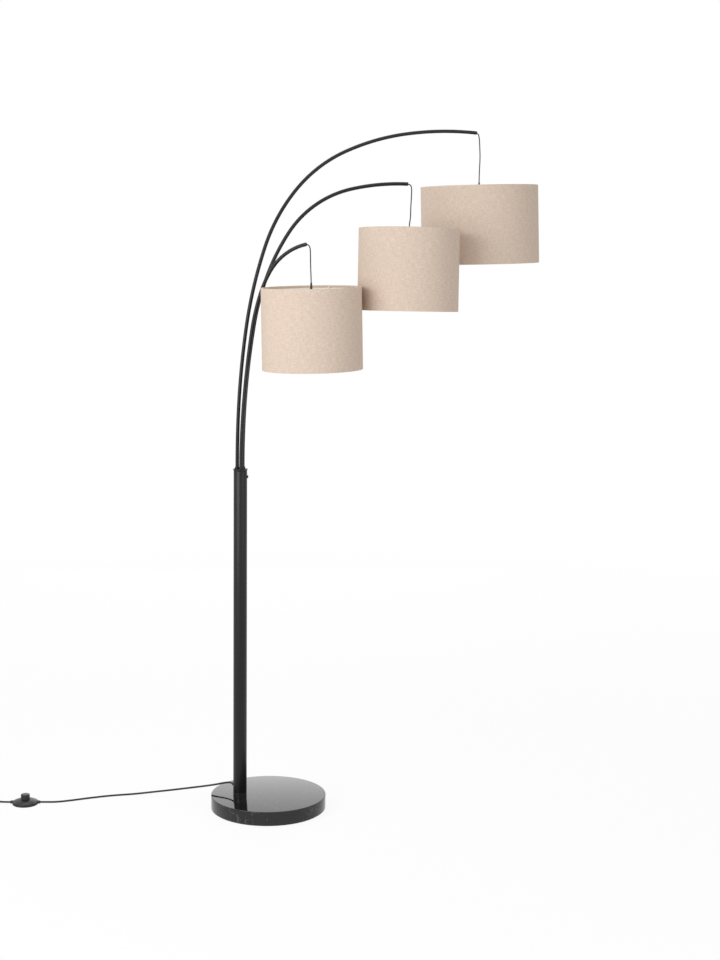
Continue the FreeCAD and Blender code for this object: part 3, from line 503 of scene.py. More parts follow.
class Finishes(Enum):
    """Every finish on the lamp."""

    # Powder coat: steel sprayed and baked, a satin film with a faint orange-peel.
    POWDER_COAT = Finish("satin_powder_coat", "0B090B", "black_metal", 0.38, grain=1.2,
                         depth=0.03, ior=1.4)
    MARBLE = PolishedMarble("polished_marble", "0E0D0F", "dark_marble", 0.07, ior=1.46)
    # Felt: pressed wool fibres, wholly matt.
    FELT = Finish("pressed_felt", "2A2A2A", "felt", 0.95, grain=0.8, depth=0.3, tone=0.2)
    # Zinc plate: dull, bluish, slightly grainy.
    ZINC = Finish("zinc_plate", "B9BBBD", "zinc_steel", 0.38, 1.0, grain=0.5)
    # Thermoplastic: moulded, with a faint texture.
    PLASTIC = Finish("moulded_thermoplastic", "121113", "black_plastic", 0.36, grain=0.6, ior=1.46)
    # Rubber: soft, with a dry bloom that greys it.
    RUBBER = Finish("moulded_rubber", "141414", "black_rubber", 0.6, grain=0.5)
    # PVC cord sheath: extruded, slightly shiny.
    SHEATH = Finish("extruded_pvc_sheath", "131214", "black_cord", 0.42, grain=2.0, ior=1.45)
    # Enamelled wire: white, glossy film.
    ENAMEL = Finish("white_enamel_wire", "E9E7E2", "white_metal", 0.35)
    LINEN = WovenCloth("woven_linen", "DCCABB", "beige_fabric", 0.9, depth=0.2, ior=1.4)
    # Lining: smooth white film laminated behind the linen.
    LINING = Finish("white_pvc_lining", "F1EDE6", "beige_fabric", 0.7, grain=0.7, tone=0.02)
    # Opal glass: an inner coating makes it milky.
    OPAL = Finish("opal_glass", "EDEAE2", "frosted_glass", 0.25, grain=3.0, depth=0.005, tone=0.01)
    NICKEL = Finish("nickel_plated_brass", "C9C3B4", "plated_pin", 0.22, 1.0, grain=0.4,
                    depth=0.005)
    TERMINAL = Finish("polyamide_terminal", "DEDCD4", "terminal_plastic", 0.5, grain=0.8)


class Workshop:
    """Makes the pieces and each finish, every finish only once."""

    def __init__(self) -> None:
        """Start with no finish made."""
        self.made: dict[Finishes, Material] = {}

    def finish(self, kind: Finishes) -> Material:
        """The material of a finish, made the first time that it is asked for."""
        if kind not in self.made:
            self.made[kind] = kind.value.build()
        return self.made[kind]

    def keep(self, node: str, kind: Finishes) -> None:
        """Give a CAD node that stays as it is its finish.

        Args:
            node: The node's name.
            kind: Its finish.
        """
        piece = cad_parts[node]
        piece.data.materials.clear()
        piece.data.materials.append(self.finish(kind))
        LOG.info("kept node %s as %s", node, kind.value.label)

    def piece(self, name: str, shape: BMesh | Curve, kind: Finishes, body: str, *replaces: str,
              place: Matrix | None = None, sharp: float = 40.0) -> Object:
        """Make a finished piece, at the origin, and tie it to the CAD model.

        Args:
            name: The piece's name.
            shape: Its shape in its own frame; a bmesh is freed.
            kind: Its finish.
            body: The CAD body that it rides on.
            replaces: CAD nodes that it stands for.
            place: From its own frame to the lamp's, or nothing if it is there already.
            sharp: Edges that turn by more than this stay sharp.

        Returns:
            The piece.
        """
        if isinstance(shape, BMesh):
            shape = finished_mesh(name, shape, place or Matrix(), sharp)
        shape.materials.append(self.finish(kind))
        piece = link_object(name, shape)
        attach(piece, body)
        if replaces:
            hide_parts(*replaces)
        LOG.info("piece %s on body %s", name, body)
        return piece


@dataclass
class Assembly:
    """A sub-assembly of the lamp."""

    shop: Workshop  # the workshop that makes its pieces


# ---- base
@dataclass
class Base(Assembly):
    """Marble slab, felt sheet and the bolt that holds the pole."""

    radius: float = 150.0
    bottom: float = 2.0  # height of the slab's underside, on the felt
    top: float = 37.0
    edge: float = 1.6  # reach of its rounded edges

    def build(self) -> None:
        """Build the slab and dress the hidden nodes."""
        outline = [(0, self.bottom), (self.radius, self.bottom), (self.radius, self.top),
                   (0, self.top)]
        slab = turned(softened(outline, self.edge, 4), WIDE_SIDES)
        self.shop.piece("marble_slab", slab, Finishes.MARBLE, "base", "marble_base", sharp=30)
        self.shop.keep("base_felt", Finishes.FELT)
        self.shop.keep("base_bolt", Finishes.ZINC)
        self.shop.keep("base_washer", Finishes.ZINC)


@dataclass
class Pole(Assembly):
    """Upright pole with its foot, its head and the rubber boot where the cord leaves."""

    axis: Vector = field(default_factory=lambda: millimetres(-73.4, -30.4, 0))
    radius: float = 17.5
    wall: float = 1.6
    bottom: float = 53.0  # height where the tube starts, on the foot's collar
    top: float = 892.0
    lip: float = 0.4  # reach of the rounding of both ends
    boot_bearing: float = 120.0
    boot_height: float = 62.5  # height of the boot's axis
    boot_root: float = 13.0  # distance from the pole's axis where the boot starts, in the pole
    boot_length: float = 20.5  # how far the boot stands out from the pole
    boot_radius: float = 5.5  # radius of its root
    boot_nose: float = 4.3  # radius of its end
    boot_taper: float = 1.1  # how much its rings narrow
    boot_collar: float = 1.0  # length of its root and of its nose
    boot_edge: float = 0.3  # reach of its rounded edges
    boot_rings: int = 5
    ring_heights: Triple = (2.0, 2.3, 3.0)  # end of crest, slope, groove
    ring_depth: float = 0.7
    ring_margin: float = 2.0  # plain stretch before and behind the rings

    def cord_exit(self) -> tuple[Vector, Vector]:
        """Where the mains cord leaves the boot, and its direction there."""
        along = level(self.boot_bearing)
        return (self.axis + along * ((self.radius + self.boot_length) * MM)
                + up(self.boot_height)), along

    def tube(self) -> None:
        """The pole's steel tube, with rounded lips."""
        inner = self.radius - self.wall
        corners = [(inner, self.bottom), (self.radius, self.bottom), (self.radius, self.top),
                   (inner, self.top)]
        bm = turned(softened(corners, self.lip, 2, closed=True), SIDES, closed=True)
        self.shop.piece("pole_steel_tube", bm, Finishes.POWDER_COAT, "base", "pole_tube",
                        place=Matrix.Translation(self.axis))

    def boot(self) -> None:
        """The moulded strain relief: a taper with rings, its root on the round of the pole."""
        end = self.radius + self.boot_length
        rings = ribs((self.radius + self.ring_margin, end - self.ring_margin),
                     (self.boot_radius, self.boot_radius - self.boot_taper), self.boot_rings,
                     self.ring_heights, self.ring_depth)
        outline = [(0, self.boot_root), (self.boot_radius, self.boot_root),
                   (self.boot_radius, self.radius + self.boot_collar), *rings,
                   (self.boot_nose, end - self.boot_collar), (self.boot_nose, end), (0, end)]
        bm = turned(softened(outline, self.boot_edge, 2), sides=40)
        self.shop.piece("cord_boot", bm, Finishes.RUBBER, "base", "cord_gland",
                        place=aimed(self.axis + up(self.boot_height), level(self.boot_bearing)))

    def build(self) -> None:
        """Build the tube and the boot, and dress the turned nodes."""
        self.tube()
        self.boot()
        for node in ("pole_foot", "arm_head", "lock_screw"):
            self.shop.keep(node, Finishes.POWDER_COAT)
        self.shop.keep("terminal_block", Finishes.TERMINAL)
        self.shop.keep("inner_cord", Finishes.SHEATH)


# ---- arms
@dataclass
class Arm(Assembly):
    """One bent steel arm."""

    name: str  # "high", "middle" or "low"
    body: str  # the CAD body that it rides on
    socket: float  # bearing of its socket in the head
    bearing: float  # bearing of its plane
    bends: Profile  # each bend's length and its heading from upright at its end
    radius: float = 4.75
    wall: float = 1.0
    foot: float = 862.3
    straight_top: float = 905.0  # height where it starts to bend
    socket_radius: float = 8.5  # how far the socket is off the pole's axis
    step: float = 12.0  # rough length of a face along a bend
    least_steps: int = 4  # fewest faces along a bend

    def point(self, out: float, height: float) -> Vector:
        """Point in the arm's upright plane.

        Args:
            out: Distance from the axis of the arm's socket, in metres.
            height: Height in metres.

        Returns:
            The point.
        """
        to_socket, away = radians(self.socket), radians(self.bearing)
        x = self.socket_radius * MM * cos(to_socket) + out * cos(away)
        y = self.socket_radius * MM * sin(to_socket) + out * sin(away)
        return Pole(self.shop).axis + Vector((x, y, height))

    def arcs(self) -> list[tuple[float, float, float, float, float]]:
        """The arcs that the arm's bends make.

        Returns:
            Each as (centre out, centre height, degrees, end out, end height).
        """
        arcs = []
        out, height, heading = 0.0, self.straight_top * MM, 0.0
        for length, end in self.bends:
            radius = length * MM / radians(end - heading)
            centre_out = out + radius * cos(radians(heading))
            centre_height = height - radius * sin(radians(heading))
            out = centre_out - radius * cos(radians(end))
            height = centre_height + radius * sin(radians(end))
            arcs.append((centre_out, centre_height, end - heading, out, height))
            heading = end
        return arcs

    def tip(self) -> tuple[Vector, Vector]:
        """Where the arm ends.

        Returns:
            The tip's centre and the direction in which it points.
        """
        out, height = self.arcs()[-1][3:]
        away = radians(self.bearing)
        heading = radians(self.bends[-1][1])
        along = Vector((sin(heading) * cos(away), sin(heading) * sin(away), cos(heading)))
        return self.point(out, height), along

    def build(self) -> None:
        """Spin the tube's two walls through each bend, close its ends and dress its bush."""
        bm = bmesh.new()
        foot = self.point(0, self.foot * MM)
        for radius in (self.radius, self.radius - self.wall):
            bmesh.ops.create_circle(bm, cap_ends=False, segments=24, radius=radius * MM)
        bmesh.ops.translate(bm, vec=foot, verts=bm.verts)
        foot_rings = bm.edges[:]
        grown = bmesh.ops.spin(bm, geom=foot_rings + bm.verts[:], cent=foot, axis=(0, 0, 1),
                               dvec=up(self.straight_top - self.foot), angle=0, steps=1)
        axis = level(self.bearing + 90)
        for (centre_out, centre_height, degrees, _, _), (length, _) in zip(self.arcs(), self.bends):
            grown = bmesh.ops.spin(bm, geom=grown["geom_last"], axis=axis, dvec=(0, 0, 0),
                                   cent=self.point(centre_out, centre_height),
                                   angle=radians(degrees),
                                   steps=max(self.least_steps, round(length / self.step)))
        tip_rings = [item for item in grown["geom_last"] if isinstance(item, BMEdge)]
        bmesh.ops.bridge_loops(bm, edges=foot_rings)
        bmesh.ops.bridge_loops(bm, edges=tip_rings)
        self.shop.piece(self.name + "_arm", bm, Finishes.POWDER_COAT, self.body,
                        self.name + "_arm_tube", sharp=60)
        self.shop.keep(self.name + "_tip_grommet", Finishes.PLASTIC)


# ---- pendants
@dataclass
class Pendant(Assembly):
    """Drum shade on its spider and lampholder, hanging on a cord from an arm's tip.

    The parts are drawn in the shade's own frame, whose origin is the centre of its top edge.
    """

    arm: Arm
    diameter: float
    height: float
    grip_rise: float  # height of the cord grip's tip over the shade's top edge
    lean: float  # how far the shade hangs out of plumb
    lean_bearing: float  # bearing towards which its lower edge stands out
    cord_points: Profile  # points (out, height) of the cord in the arm's plane
    cord_length: float  # length of the hanging cord, in metres
    cord_diameter: float = 3.0
    cord_start: float = 5.0  # how far inside the arm's tip it starts
    wall: float = 1.2
    hem: float = 3.4  # width of its turned-in hems
    hem_height: float = 6.0
    hem_slope: float = 3.6  # height of a hem's flat part
    hem_edge: float = 1.2  # reach of the hems' rounding
    lining_gap: float = 0.05  # gap between drum and lining
    lining_wall: float = 0.35  # thickness of the lining
    lining_inset: float = 0.5  # gap between lining and hems
    drop: float = 49.0  # depth of the lampholder's seat below the top edge
    # Inner radius, outer radius and thickness of the spider's hub.
    hub: Triple = (20.3, 28.0, 2.0)
    hub_gap: float = 0.02  # gap over the hub
    hub_edge: float = 0.6
    wires: int = 3
    wire_radius: float = 1.5  # their radius
    wire_end: float = 4.0  # how far below the top edge a wire ends
    wire_bite: float = 0.3  # how far it reaches into the hem
    grip_radius: float = 2.2  # radius of the cord grip's tip
    # Corners of the lampholder's cap, over its seat.
    cap: Profile = ((4.5, 27.5), (9, 26), (14.5, 25.5), (20, 18), (22.5, 14),
                    (22.5, 0), (20, 0))
    skirt: float = 35.0  # length of the threaded skirt below the seat
    threads: int = 9
    crest: float = 20.0  # radius of the threads
    root: float = 19.1  # radius between them
    plain: float = 2.0  # plain stretch of the skirt at both ends
    holder_edge: float = 0.8
    # Corners of the skirt's mouth, over its lower edge.
    mouth: Profile = ((20, 1), (19.4, 0), (14.3, 0), (14.3, 29), (0, 29))
    # Corners of the clamping ring, over its top.
    nut: Profile = ((20.02, -9), (25, -9), (25, -3), (24, 0), (20.02, 0))
    nut_drop: float = 2.04  # depth of the ring's top below the seat
    nut_edge: float = 0.5
    # Corners of the bulb, over the skirt's lower edge.
    bulb: Profile = ((0, 26), (13.3, 26), (13.3, -4), (16, -12.8), (23.2, -24),
                     (29, -38.4), (29, -56), (24.65, -72), (13.05, -80), (0, -80))
    bulb_edge: float = 9.0  # reach of the rounding that makes the glass round

    @property
    def place(self) -> Matrix:
        """Where the pendant hangs.

        Returns:
            The matrix from the shade's own frame to the lamp's.
        """
        out, height = self.cord_points[-1]
        tip = self.arm.point(out * MM, height * MM)
        axis = Vector((0, 0, -1)).cross(level(self.lean_bearing))
        return (Matrix.Translation(tip) @ Matrix.Rotation(radians(self.lean), 4, axis)
                @ Matrix.Rotation(radians(self.arm.bearing), 4, "Z")
                @ Matrix.Translation(up(-self.grip_rise)))

    def label(self, part: str) -> str:
        """Name of one of this pendant's pieces or nodes."""
        return "%s_%s" % (self.arm.name, part)

    def add(self, name: str, bm: BMesh, kind: Finishes, node: str | None = None,
            sharp: float = 40.0) -> None:
        """Make one of this pendant's pieces, which may stand for one of its CAD nodes."""
        replaces = (self.label(node),) if node else ()
        self.shop.piece(self.label(name), bm, kind, "pendant_" + self.arm.name, *replaces,
                        place=self.place, sharp=sharp)

    def shade(self) -> None:
        """Linen drum with turned-in hems, and the white lining inside it."""
        radius, low = self.diameter / 2, -self.height
        inner, fold = radius - self.wall, radius - self.hem
        corners = [(inner, low + self.hem_height), (fold, low + self.hem_slope), (fold, low),
                   (radius, low), (radius, 0), (fold, 0), (fold, -self.hem_slope),
                   (inner, -self.hem_height)]
        drum = turned(softened(corners, self.hem_edge, 4, closed=True), WIDE_SIDES, closed=True)
        wrap(drum, radius)
        self.add("linen_drum", drum, Finishes.LINEN, "shade", sharp=50)
        face = inner - self.lining_gap
        back = face - self.lining_wall
        low += self.hem_height + self.lining_inset
        high = -self.hem_height - self.lining_inset
        sleeve = [millimetres(r, 0, z) for r, z in (
            (face, low), (face, high), (back, high), (back, low))]
        self.add("lining", turned(sleeve, WIDE_SIDES, closed=True), Finishes.LINING)

    def spider(self) -> None:
        """Pressed hub ring with three enamelled wires up to the top hem."""
        inner, outer, thick = self.hub
        top = -self.drop - self.hub_gap
        corners = [(inner, top - thick), (outer, top - thick), (outer, top), (inner, top)]
        bm = turned(softened(corners, self.hub_edge, 2, closed=True), SIDES, closed=True)
        rim = self.diameter / 2 - self.hem + self.wire_bite
        for number in range(self.wires):
            away = level(90 + number * 360 / self.wires)
            start = away * ((outer - self.wire_radius) * MM) + up(top - thick / 2)
            add_rod(bm, start, away * (rim * MM) + up(-self.wire_end), self.wire_radius, sides=16)
        self.add("spider_wires", bm, Finishes.ENAMEL, "spider")

    def holder(self) -> None:
        """Lampholder with a domed cap, a threaded skirt, its clamping ring and the cord grip."""
        outline = [(0, self.grip_rise), (self.grip_radius, self.grip_rise),
                   *lifted(self.cap, -self.drop)]
        pitch = (self.skirt - 2 * self.plain) / self.threads
        for number in range(self.threads):
            low = -self.drop - self.plain - number * pitch
            outline += [(self.crest, low), (self.root, low - pitch / 2)]
        outline += lifted(self.mouth, -self.drop - self.skirt)
        shell = turned(softened(outline, self.holder_edge, 2), SMALL_SIDES)
        self.add("lampholder_shell", shell, Finishes.PLASTIC, "lampholder", sharp=35)
        corners = lifted(self.nut, -self.drop - self.nut_drop)
        ring = turned(softened(corners, self.nut_edge, 2, closed=True), sides=96, closed=True)
        self.add("clamping_ring", ring, Finishes.PLASTIC, "shade_ring")

    def lamp(self) -> None:
        """Opal bulb with its cap in the socket."""
        outline = softened(lifted(self.bulb, -self.drop - self.skirt), self.bulb_edge, 6)
        self.add("opal_bulb", turned(outline, SMALL_SIDES), Finishes.OPAL, "bulb", sharp=60)

    def hanging_cord(self) -> None:
        """Lamp cord out of the arm's tip and straight down into the grip."""
        tip, along = self.arm.tip()
        points = [tip - along * self.cord_start * MM]
        points += [self.arm.point(out * MM, height * MM) for out, height in self.cord_points]
        curve = cord_curve(self.label("hanging_cord"), points, self.cord_diameter)
        piece = self.shop.piece(curve.name, curve, Finishes.SHEATH,
                                "pendant_" + self.arm.name, self.label("lamp_cord"))

    def build(self) -> None:
        """Build every piece of the pendant."""
        self.shade()
        self.spider()
        self.holder()
        self.lamp()
        self.hanging_cord()


# ---- mains cord
@dataclass
class FootSwitch(Assembly):
    """Round foot switch on the mains cord."""

    centre: Vector = field(default_factory=lambda: millimetres(-641, 32, 0))
    plate: Profile = ((0, 0), (33.4, 0), (34, 0.6), (34, 5), (0, 5))
    # The cover's wall, all round.
    cover: Profile = ((32, 5.1), (34, 5.1), (33, 6.6), (24, 10.6), (16, 12.8),
                      (12.2, 13.4), (12, 11.4), (23, 8.6), (31, 5.7))
    button: Profile = ((0, 15.6), (4.8, 15.6), (4.8, 8.6), (14, 8.6), (14, 10.6),
                       (11.7, 10.6), (11.7, 25), (10.2, 26), (0, 26))
    plate_edge: float = 0.5  # reach of the rounding of each
    cover_edge: float = 1.6
    button_edge: float = 0.9
    # Start, end, height and radius of the round inlets of the cord.
    nub: tuple[float, float, float, float] = (29.0, 39.0, 4.6, 4.2)
    wire: float = 0.5  # radius of the return spring's wire
    coil: float = 3.9  # mean radius of the spring
    spring_bottom: float = 5.02  # height of the spring's lower end
    spring_top: float = 15.3
    travel: float = 3.5  # how far the button goes down
    turns: int = 6
    per_turn: int = 16  # faces along a turn

    def build(self) -> list[Object]:
        """Build the bottom plate, domed cover, button and spring.

        Returns:
            These pieces.
        """
        place = Matrix.Translation(self.centre)
        plate = turned(softened(self.plate, self.plate_edge, 2), SIDES)
        start, end, height, radius = self.nub
        for way in (Vector((-1, 0, 0)), Vector((1, 0, 0))):
            add_rod(plate, way * (start * MM) + up(height), way * (end * MM) + up(height),
                    radius, sides=24)
        # The first two corners come again at the end, so that all of them are rounded.
        wall = softened([*self.cover, *self.cover[:2]], self.cover_edge, 4)[1:-1]
        cover = turned(wall, SIDES, closed=True)
        button = turned(softened(self.button, self.button_edge), SMALL_SIDES)
        pieces = [self.shop.piece(name, bm, Finishes.PLASTIC, body, node, place=place)
                  for name, bm, body, node in (
                      ("switch_plate", plate, "base", "switch_base"),
                      ("switch_dome", cover, "base", "switch_cover"),
                      ("switch_press_button", button, "button", "switch_button"))]
        return [*pieces, self.spring(place)]

    def spring(self, place: Matrix) -> Object:
        """Wind the return spring under the button.

        Args:
            place: From the switch's own frame to the lamp's.

        Returns:
            The spring.
        """
        bm = bmesh.new()
        bmesh.ops.create_circle(bm, cap_ends=False, segments=8, radius=self.wire * MM)
        bmesh.ops.rotate(bm, cent=(0, 0, 0), matrix=Matrix.Rotation(pi / 2, 3, "X"),
                         verts=bm.verts)
        bmesh.ops.translate(bm, vec=millimetres(self.coil, 0, self.spring_bottom + self.wire),
                            verts=bm.verts)
        first = bm.edges[:]
        steps = self.turns * self.per_turn
        height = self.spring_top - self.spring_bottom
        grown = bmesh.ops.spin(bm, geom=first + bm.verts[:], cent=(0, 0, 0), axis=(0, 0, 1),
                               dvec=up((height - 2 * self.wire) / steps),
                               angle=2 * pi * self.turns, steps=steps)
        last = [item for item in grown["geom_last"] if isinstance(item, BMEdge)]
        bmesh.ops.edgeloop_fill(bm, edges=first)
        bmesh.ops.edgeloop_fill(bm, edges=last)
        spring = self.shop.piece("switch_return_spring", bm, Finishes.ZINC, "base",
                                 "switch_spring", place=place)
        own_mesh(spring)
        return spring


@dataclass
class Coil:
    """Put-away cord, wound in two layers: it spirals in, climbs and spirals out."""

    centre: Vector = field(default_factory=lambda: millimetres(-768, 101, 0))
    outer: float = 36.5  # radius of the outermost turn
    pitch: float = 5.8  # distance between turns
    rise: float = 5.7  # height between the layers
    low: float = 2.6  # height of the lower layer's centre line
    start: float = 250.0  # bearing where the cord enters
    turns: float = 4 + 70 / 360  # number of turns, down to the plug's side
    climb: float = 0.5  # turns that the climb takes
    widen: float = 6.0  # how much the end of the last turn opens out
    widen_turns: float = 0.5  # turns over which it does
    drop: float = 1.2  # how far the end of the last turn comes down
    drop_turns: float = 0.25  # turns over which it does
    per_turn: int = 12  # control points to a turn

    def state(self, turned_by: float, corner: float = 1.0) -> Vector:
        """Point of the winding after a number of turns.

        Args:
            turned_by: Turns from the start.
            corner: Factor by which a control point stands outside the line.

        Returns:
            The point in the lamp's frame.
        """
        half_way = self.turns / 2
        radius = self.outer - self.pitch * (half_way - abs(turned_by - half_way))
        radius += self.widen * share((turned_by - self.turns) / self.widen_turns + 1)
        height = self.low + self.rise * share((turned_by - half_way) / self.climb + 0.5)
        height -= self.drop * share((turned_by - self.turns) / self.drop_turns + 1)
        return (self.centre + level(self.start - 360 * turned_by) * (radius * corner * MM)
                + up(height))

    def heading(self, turned_by: float) -> Vector:
        """Level direction of the winding after a number of turns."""
        return level(self.start - 360 * turned_by - 90)

    def controls(self) -> list[Vector]:
        """Lay out the control points of the winding.

        Returns:
            The points, just outside the winding's line.
        """
        count = round(self.turns * self.per_turn)
        corner = 1 / cos(pi / self.per_turn)
        return [self.state(self.turns * (number + 0.5) / count, corner) for number in range(count)]


@dataclass
class Plug(Assembly):
    """Flat two-pin plug with a ribbed cord grip, drawn from where the grip starts."""

    grip_length: float = 28.0
    grip_root: float = 3.5  # radius of its start
    grip_end: float = 4.8  # radius of its end, in the body
    grip_inside: float = 3.0  # how far it reaches into the body
    rings: int = 6
    ring_radii: Pair = (3.6, 4.8)
    ring_heights: Triple = (2.2, 2.6, 3.4)  # end of crest, slope, groove
    ring_depth: float = 0.6
    ring_margin: float = 2.0  # plain stretch before and behind the rings
    grip_edge: float = 0.3
    # Corners of the body's flat outline, as (sideways, along) from the grip's end.
    body: Profile = ((-6.5, 0), (6.5, 0), (17.65, 26.6), (17.65, 38), (-17.65, 38),
                     (-17.65, 26.6))
    thick: float = 13.7
    edge: float = 2.2  # reach of its rounded edges

    def build(self, start: Vector, along: Vector) -> list[Object]:
        """Build the body and the grip, and dress the pins.

        Args:
            start: Where the grip begins.
            along: The way that the plug points.

        Returns:
            The plug's pieces.
        """
        shell = bmesh.new()
        face = shell.faces.new([shell.verts.new(millimetres(x, -self.thick / 2,
                                                            self.grip_length + z))
                                for x, z in self.body])
        side = bmesh.ops.extrude_face_region(shell, geom=[face])
        moved = [item for item in side["geom"] if isinstance(item, BMVert)]
        bmesh.ops.translate(shell, vec=millimetres(0, self.thick, 0), verts=moved)
        bmesh.ops.recalc_face_normals(shell, faces=shell.faces)
        bmesh.ops.bevel(shell, geom=shell.edges[:], offset=self.edge * MM, affect="EDGES",
                        segments=4, profile=0.5, material=-1)
        end = self.grip_length + self.grip_inside
        rings = ribs((self.ring_margin, self.grip_length - self.ring_margin), self.ring_radii,
                     self.rings, self.ring_heights, self.ring_depth)
        outline = [(0, 0), (self.grip_root, 0), *rings, (self.grip_end, self.grip_length),
                   (self.grip_end, end), (0, end)]
        grip = turned(softened(outline, self.grip_edge, 2), sides=32)
        place = Matrix.Translation(start) @ Matrix((
            (-along.y, 0, along.x, 0), (along.x, 0, along.y, 0), (0, 1, 0, 0), (0, 0, 0, 1)))
        self.shop.keep("plug_pins", Finishes.NICKEL)
        return [
            self.shop.piece("plug_shell", shell, Finishes.PLASTIC, "base", "plug_body",
                            place=place),
            self.shop.piece("plug_grip", grip, Finishes.RUBBER, "base", place=place),
            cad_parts["plug_pins"]]


@dataclass
class MainsCord(Assembly):
    """Mains cord from the pole's boot over the base to the switch, and on to coil and plug."""

    diameter: float = 5.0
    free_length: float = 0.55  # length of the part before the switch, in metres
    tail_length: float = 0.93  # length of the part behind it, in metres
    stub: float = 14.0  # how far the cord runs straight out of the boot
    # Points of the part before the switch.
    free_points: tuple[Triple, ...] = (
        (-114.5, 22.2, 59), (-135, 23, 54.5), (-163, 27, 49), (-213, 46, 37),
        (-262, 72, 23), (-311, 97, 10), (-362, 102.5, 2.6), (-420, 91, 2.6),
        (-476, 71, 2.6), (-524, 50, 2.6), (-560, 36.5, 3), (-588, 32, 4.6),
        (-602, 32, 4.6))
    # Points between the switch and the coil.
    tail_points: tuple[Triple, ...] = (
        (-680, 32, 4.6), (-694, 32, 4.6), (-708, 38, 3.4), (-728, 50, 2.6))
    coil: Coil = field(default_factory=Coil)
    lead_in: float = 19.0  # how far before the coil the cord already has its heading
    lead_out: float = 5.0  # how far it keeps its heading behind the coil

    def free_part(self) -> None:
        """The part between the pole and the foot switch."""
        leave, along = Pole(self.shop).cord_exit()
        points = [leave, leave + along * self.stub * MM]
        points += [millimetres(*point) for point in self.free_points]
        pieces = FootSwitch(self.shop).build()
        curve = cord_curve("mains_cord_free", points, self.diameter)
        piece = self.shop.piece(curve.name, curve, Finishes.SHEATH, "base", "mains_cord")

    def tail_part(self) -> None:
        """The part from the foot switch into the coil, with the plug on its end."""
        coil = self.coil
        end, leave = coil.state(coil.turns), coil.heading(coil.turns)
        points = [millimetres(*point) for point in self.tail_points]
        points += [coil.state(0) - coil.heading(0) * self.lead_in * MM, *coil.controls(), end,
                   end + leave * self.lead_out * MM]
        pieces = Plug(self.shop).build(points[-1], leave)
        curve = cord_curve("mains_cord_tail", points, self.diameter)
        piece = self.shop.piece(curve.name, curve, Finishes.SHEATH, "base", "tail_cord",
                                "cord_coil")

    def build(self) -> None:
        """Build both parts of the cord and what is on them."""
        self.free_part()
        self.tail_part()


# ---- studio
@dataclass(frozen=True)
class SoftLight:
    """Square soft light that the camera doesn't see."""

    name: str
    place: Triple  # where it stands, in metres
    target: Triple  # where it points
    size: float  # its side in metres
    power: float

    def build(self) -> None:
        """Add the light."""
        data = bpy.data.lights.new(self.name, "AREA")
        data.size = self.size
        data.energy = self.power
        light = link_object(self.name, data)
        towards = Vector(self.target) - Vector(self.place)
        turn = towards.to_track_quat("-Z", "Y").to_matrix().to_4x4()
        light.matrix_world = Matrix.Translation(self.place) @ turn
        light.visible_camera = False


SHADES = (0.2, 0.0, 1.3)
SLAB = (0.0, 0.0, 0.1)


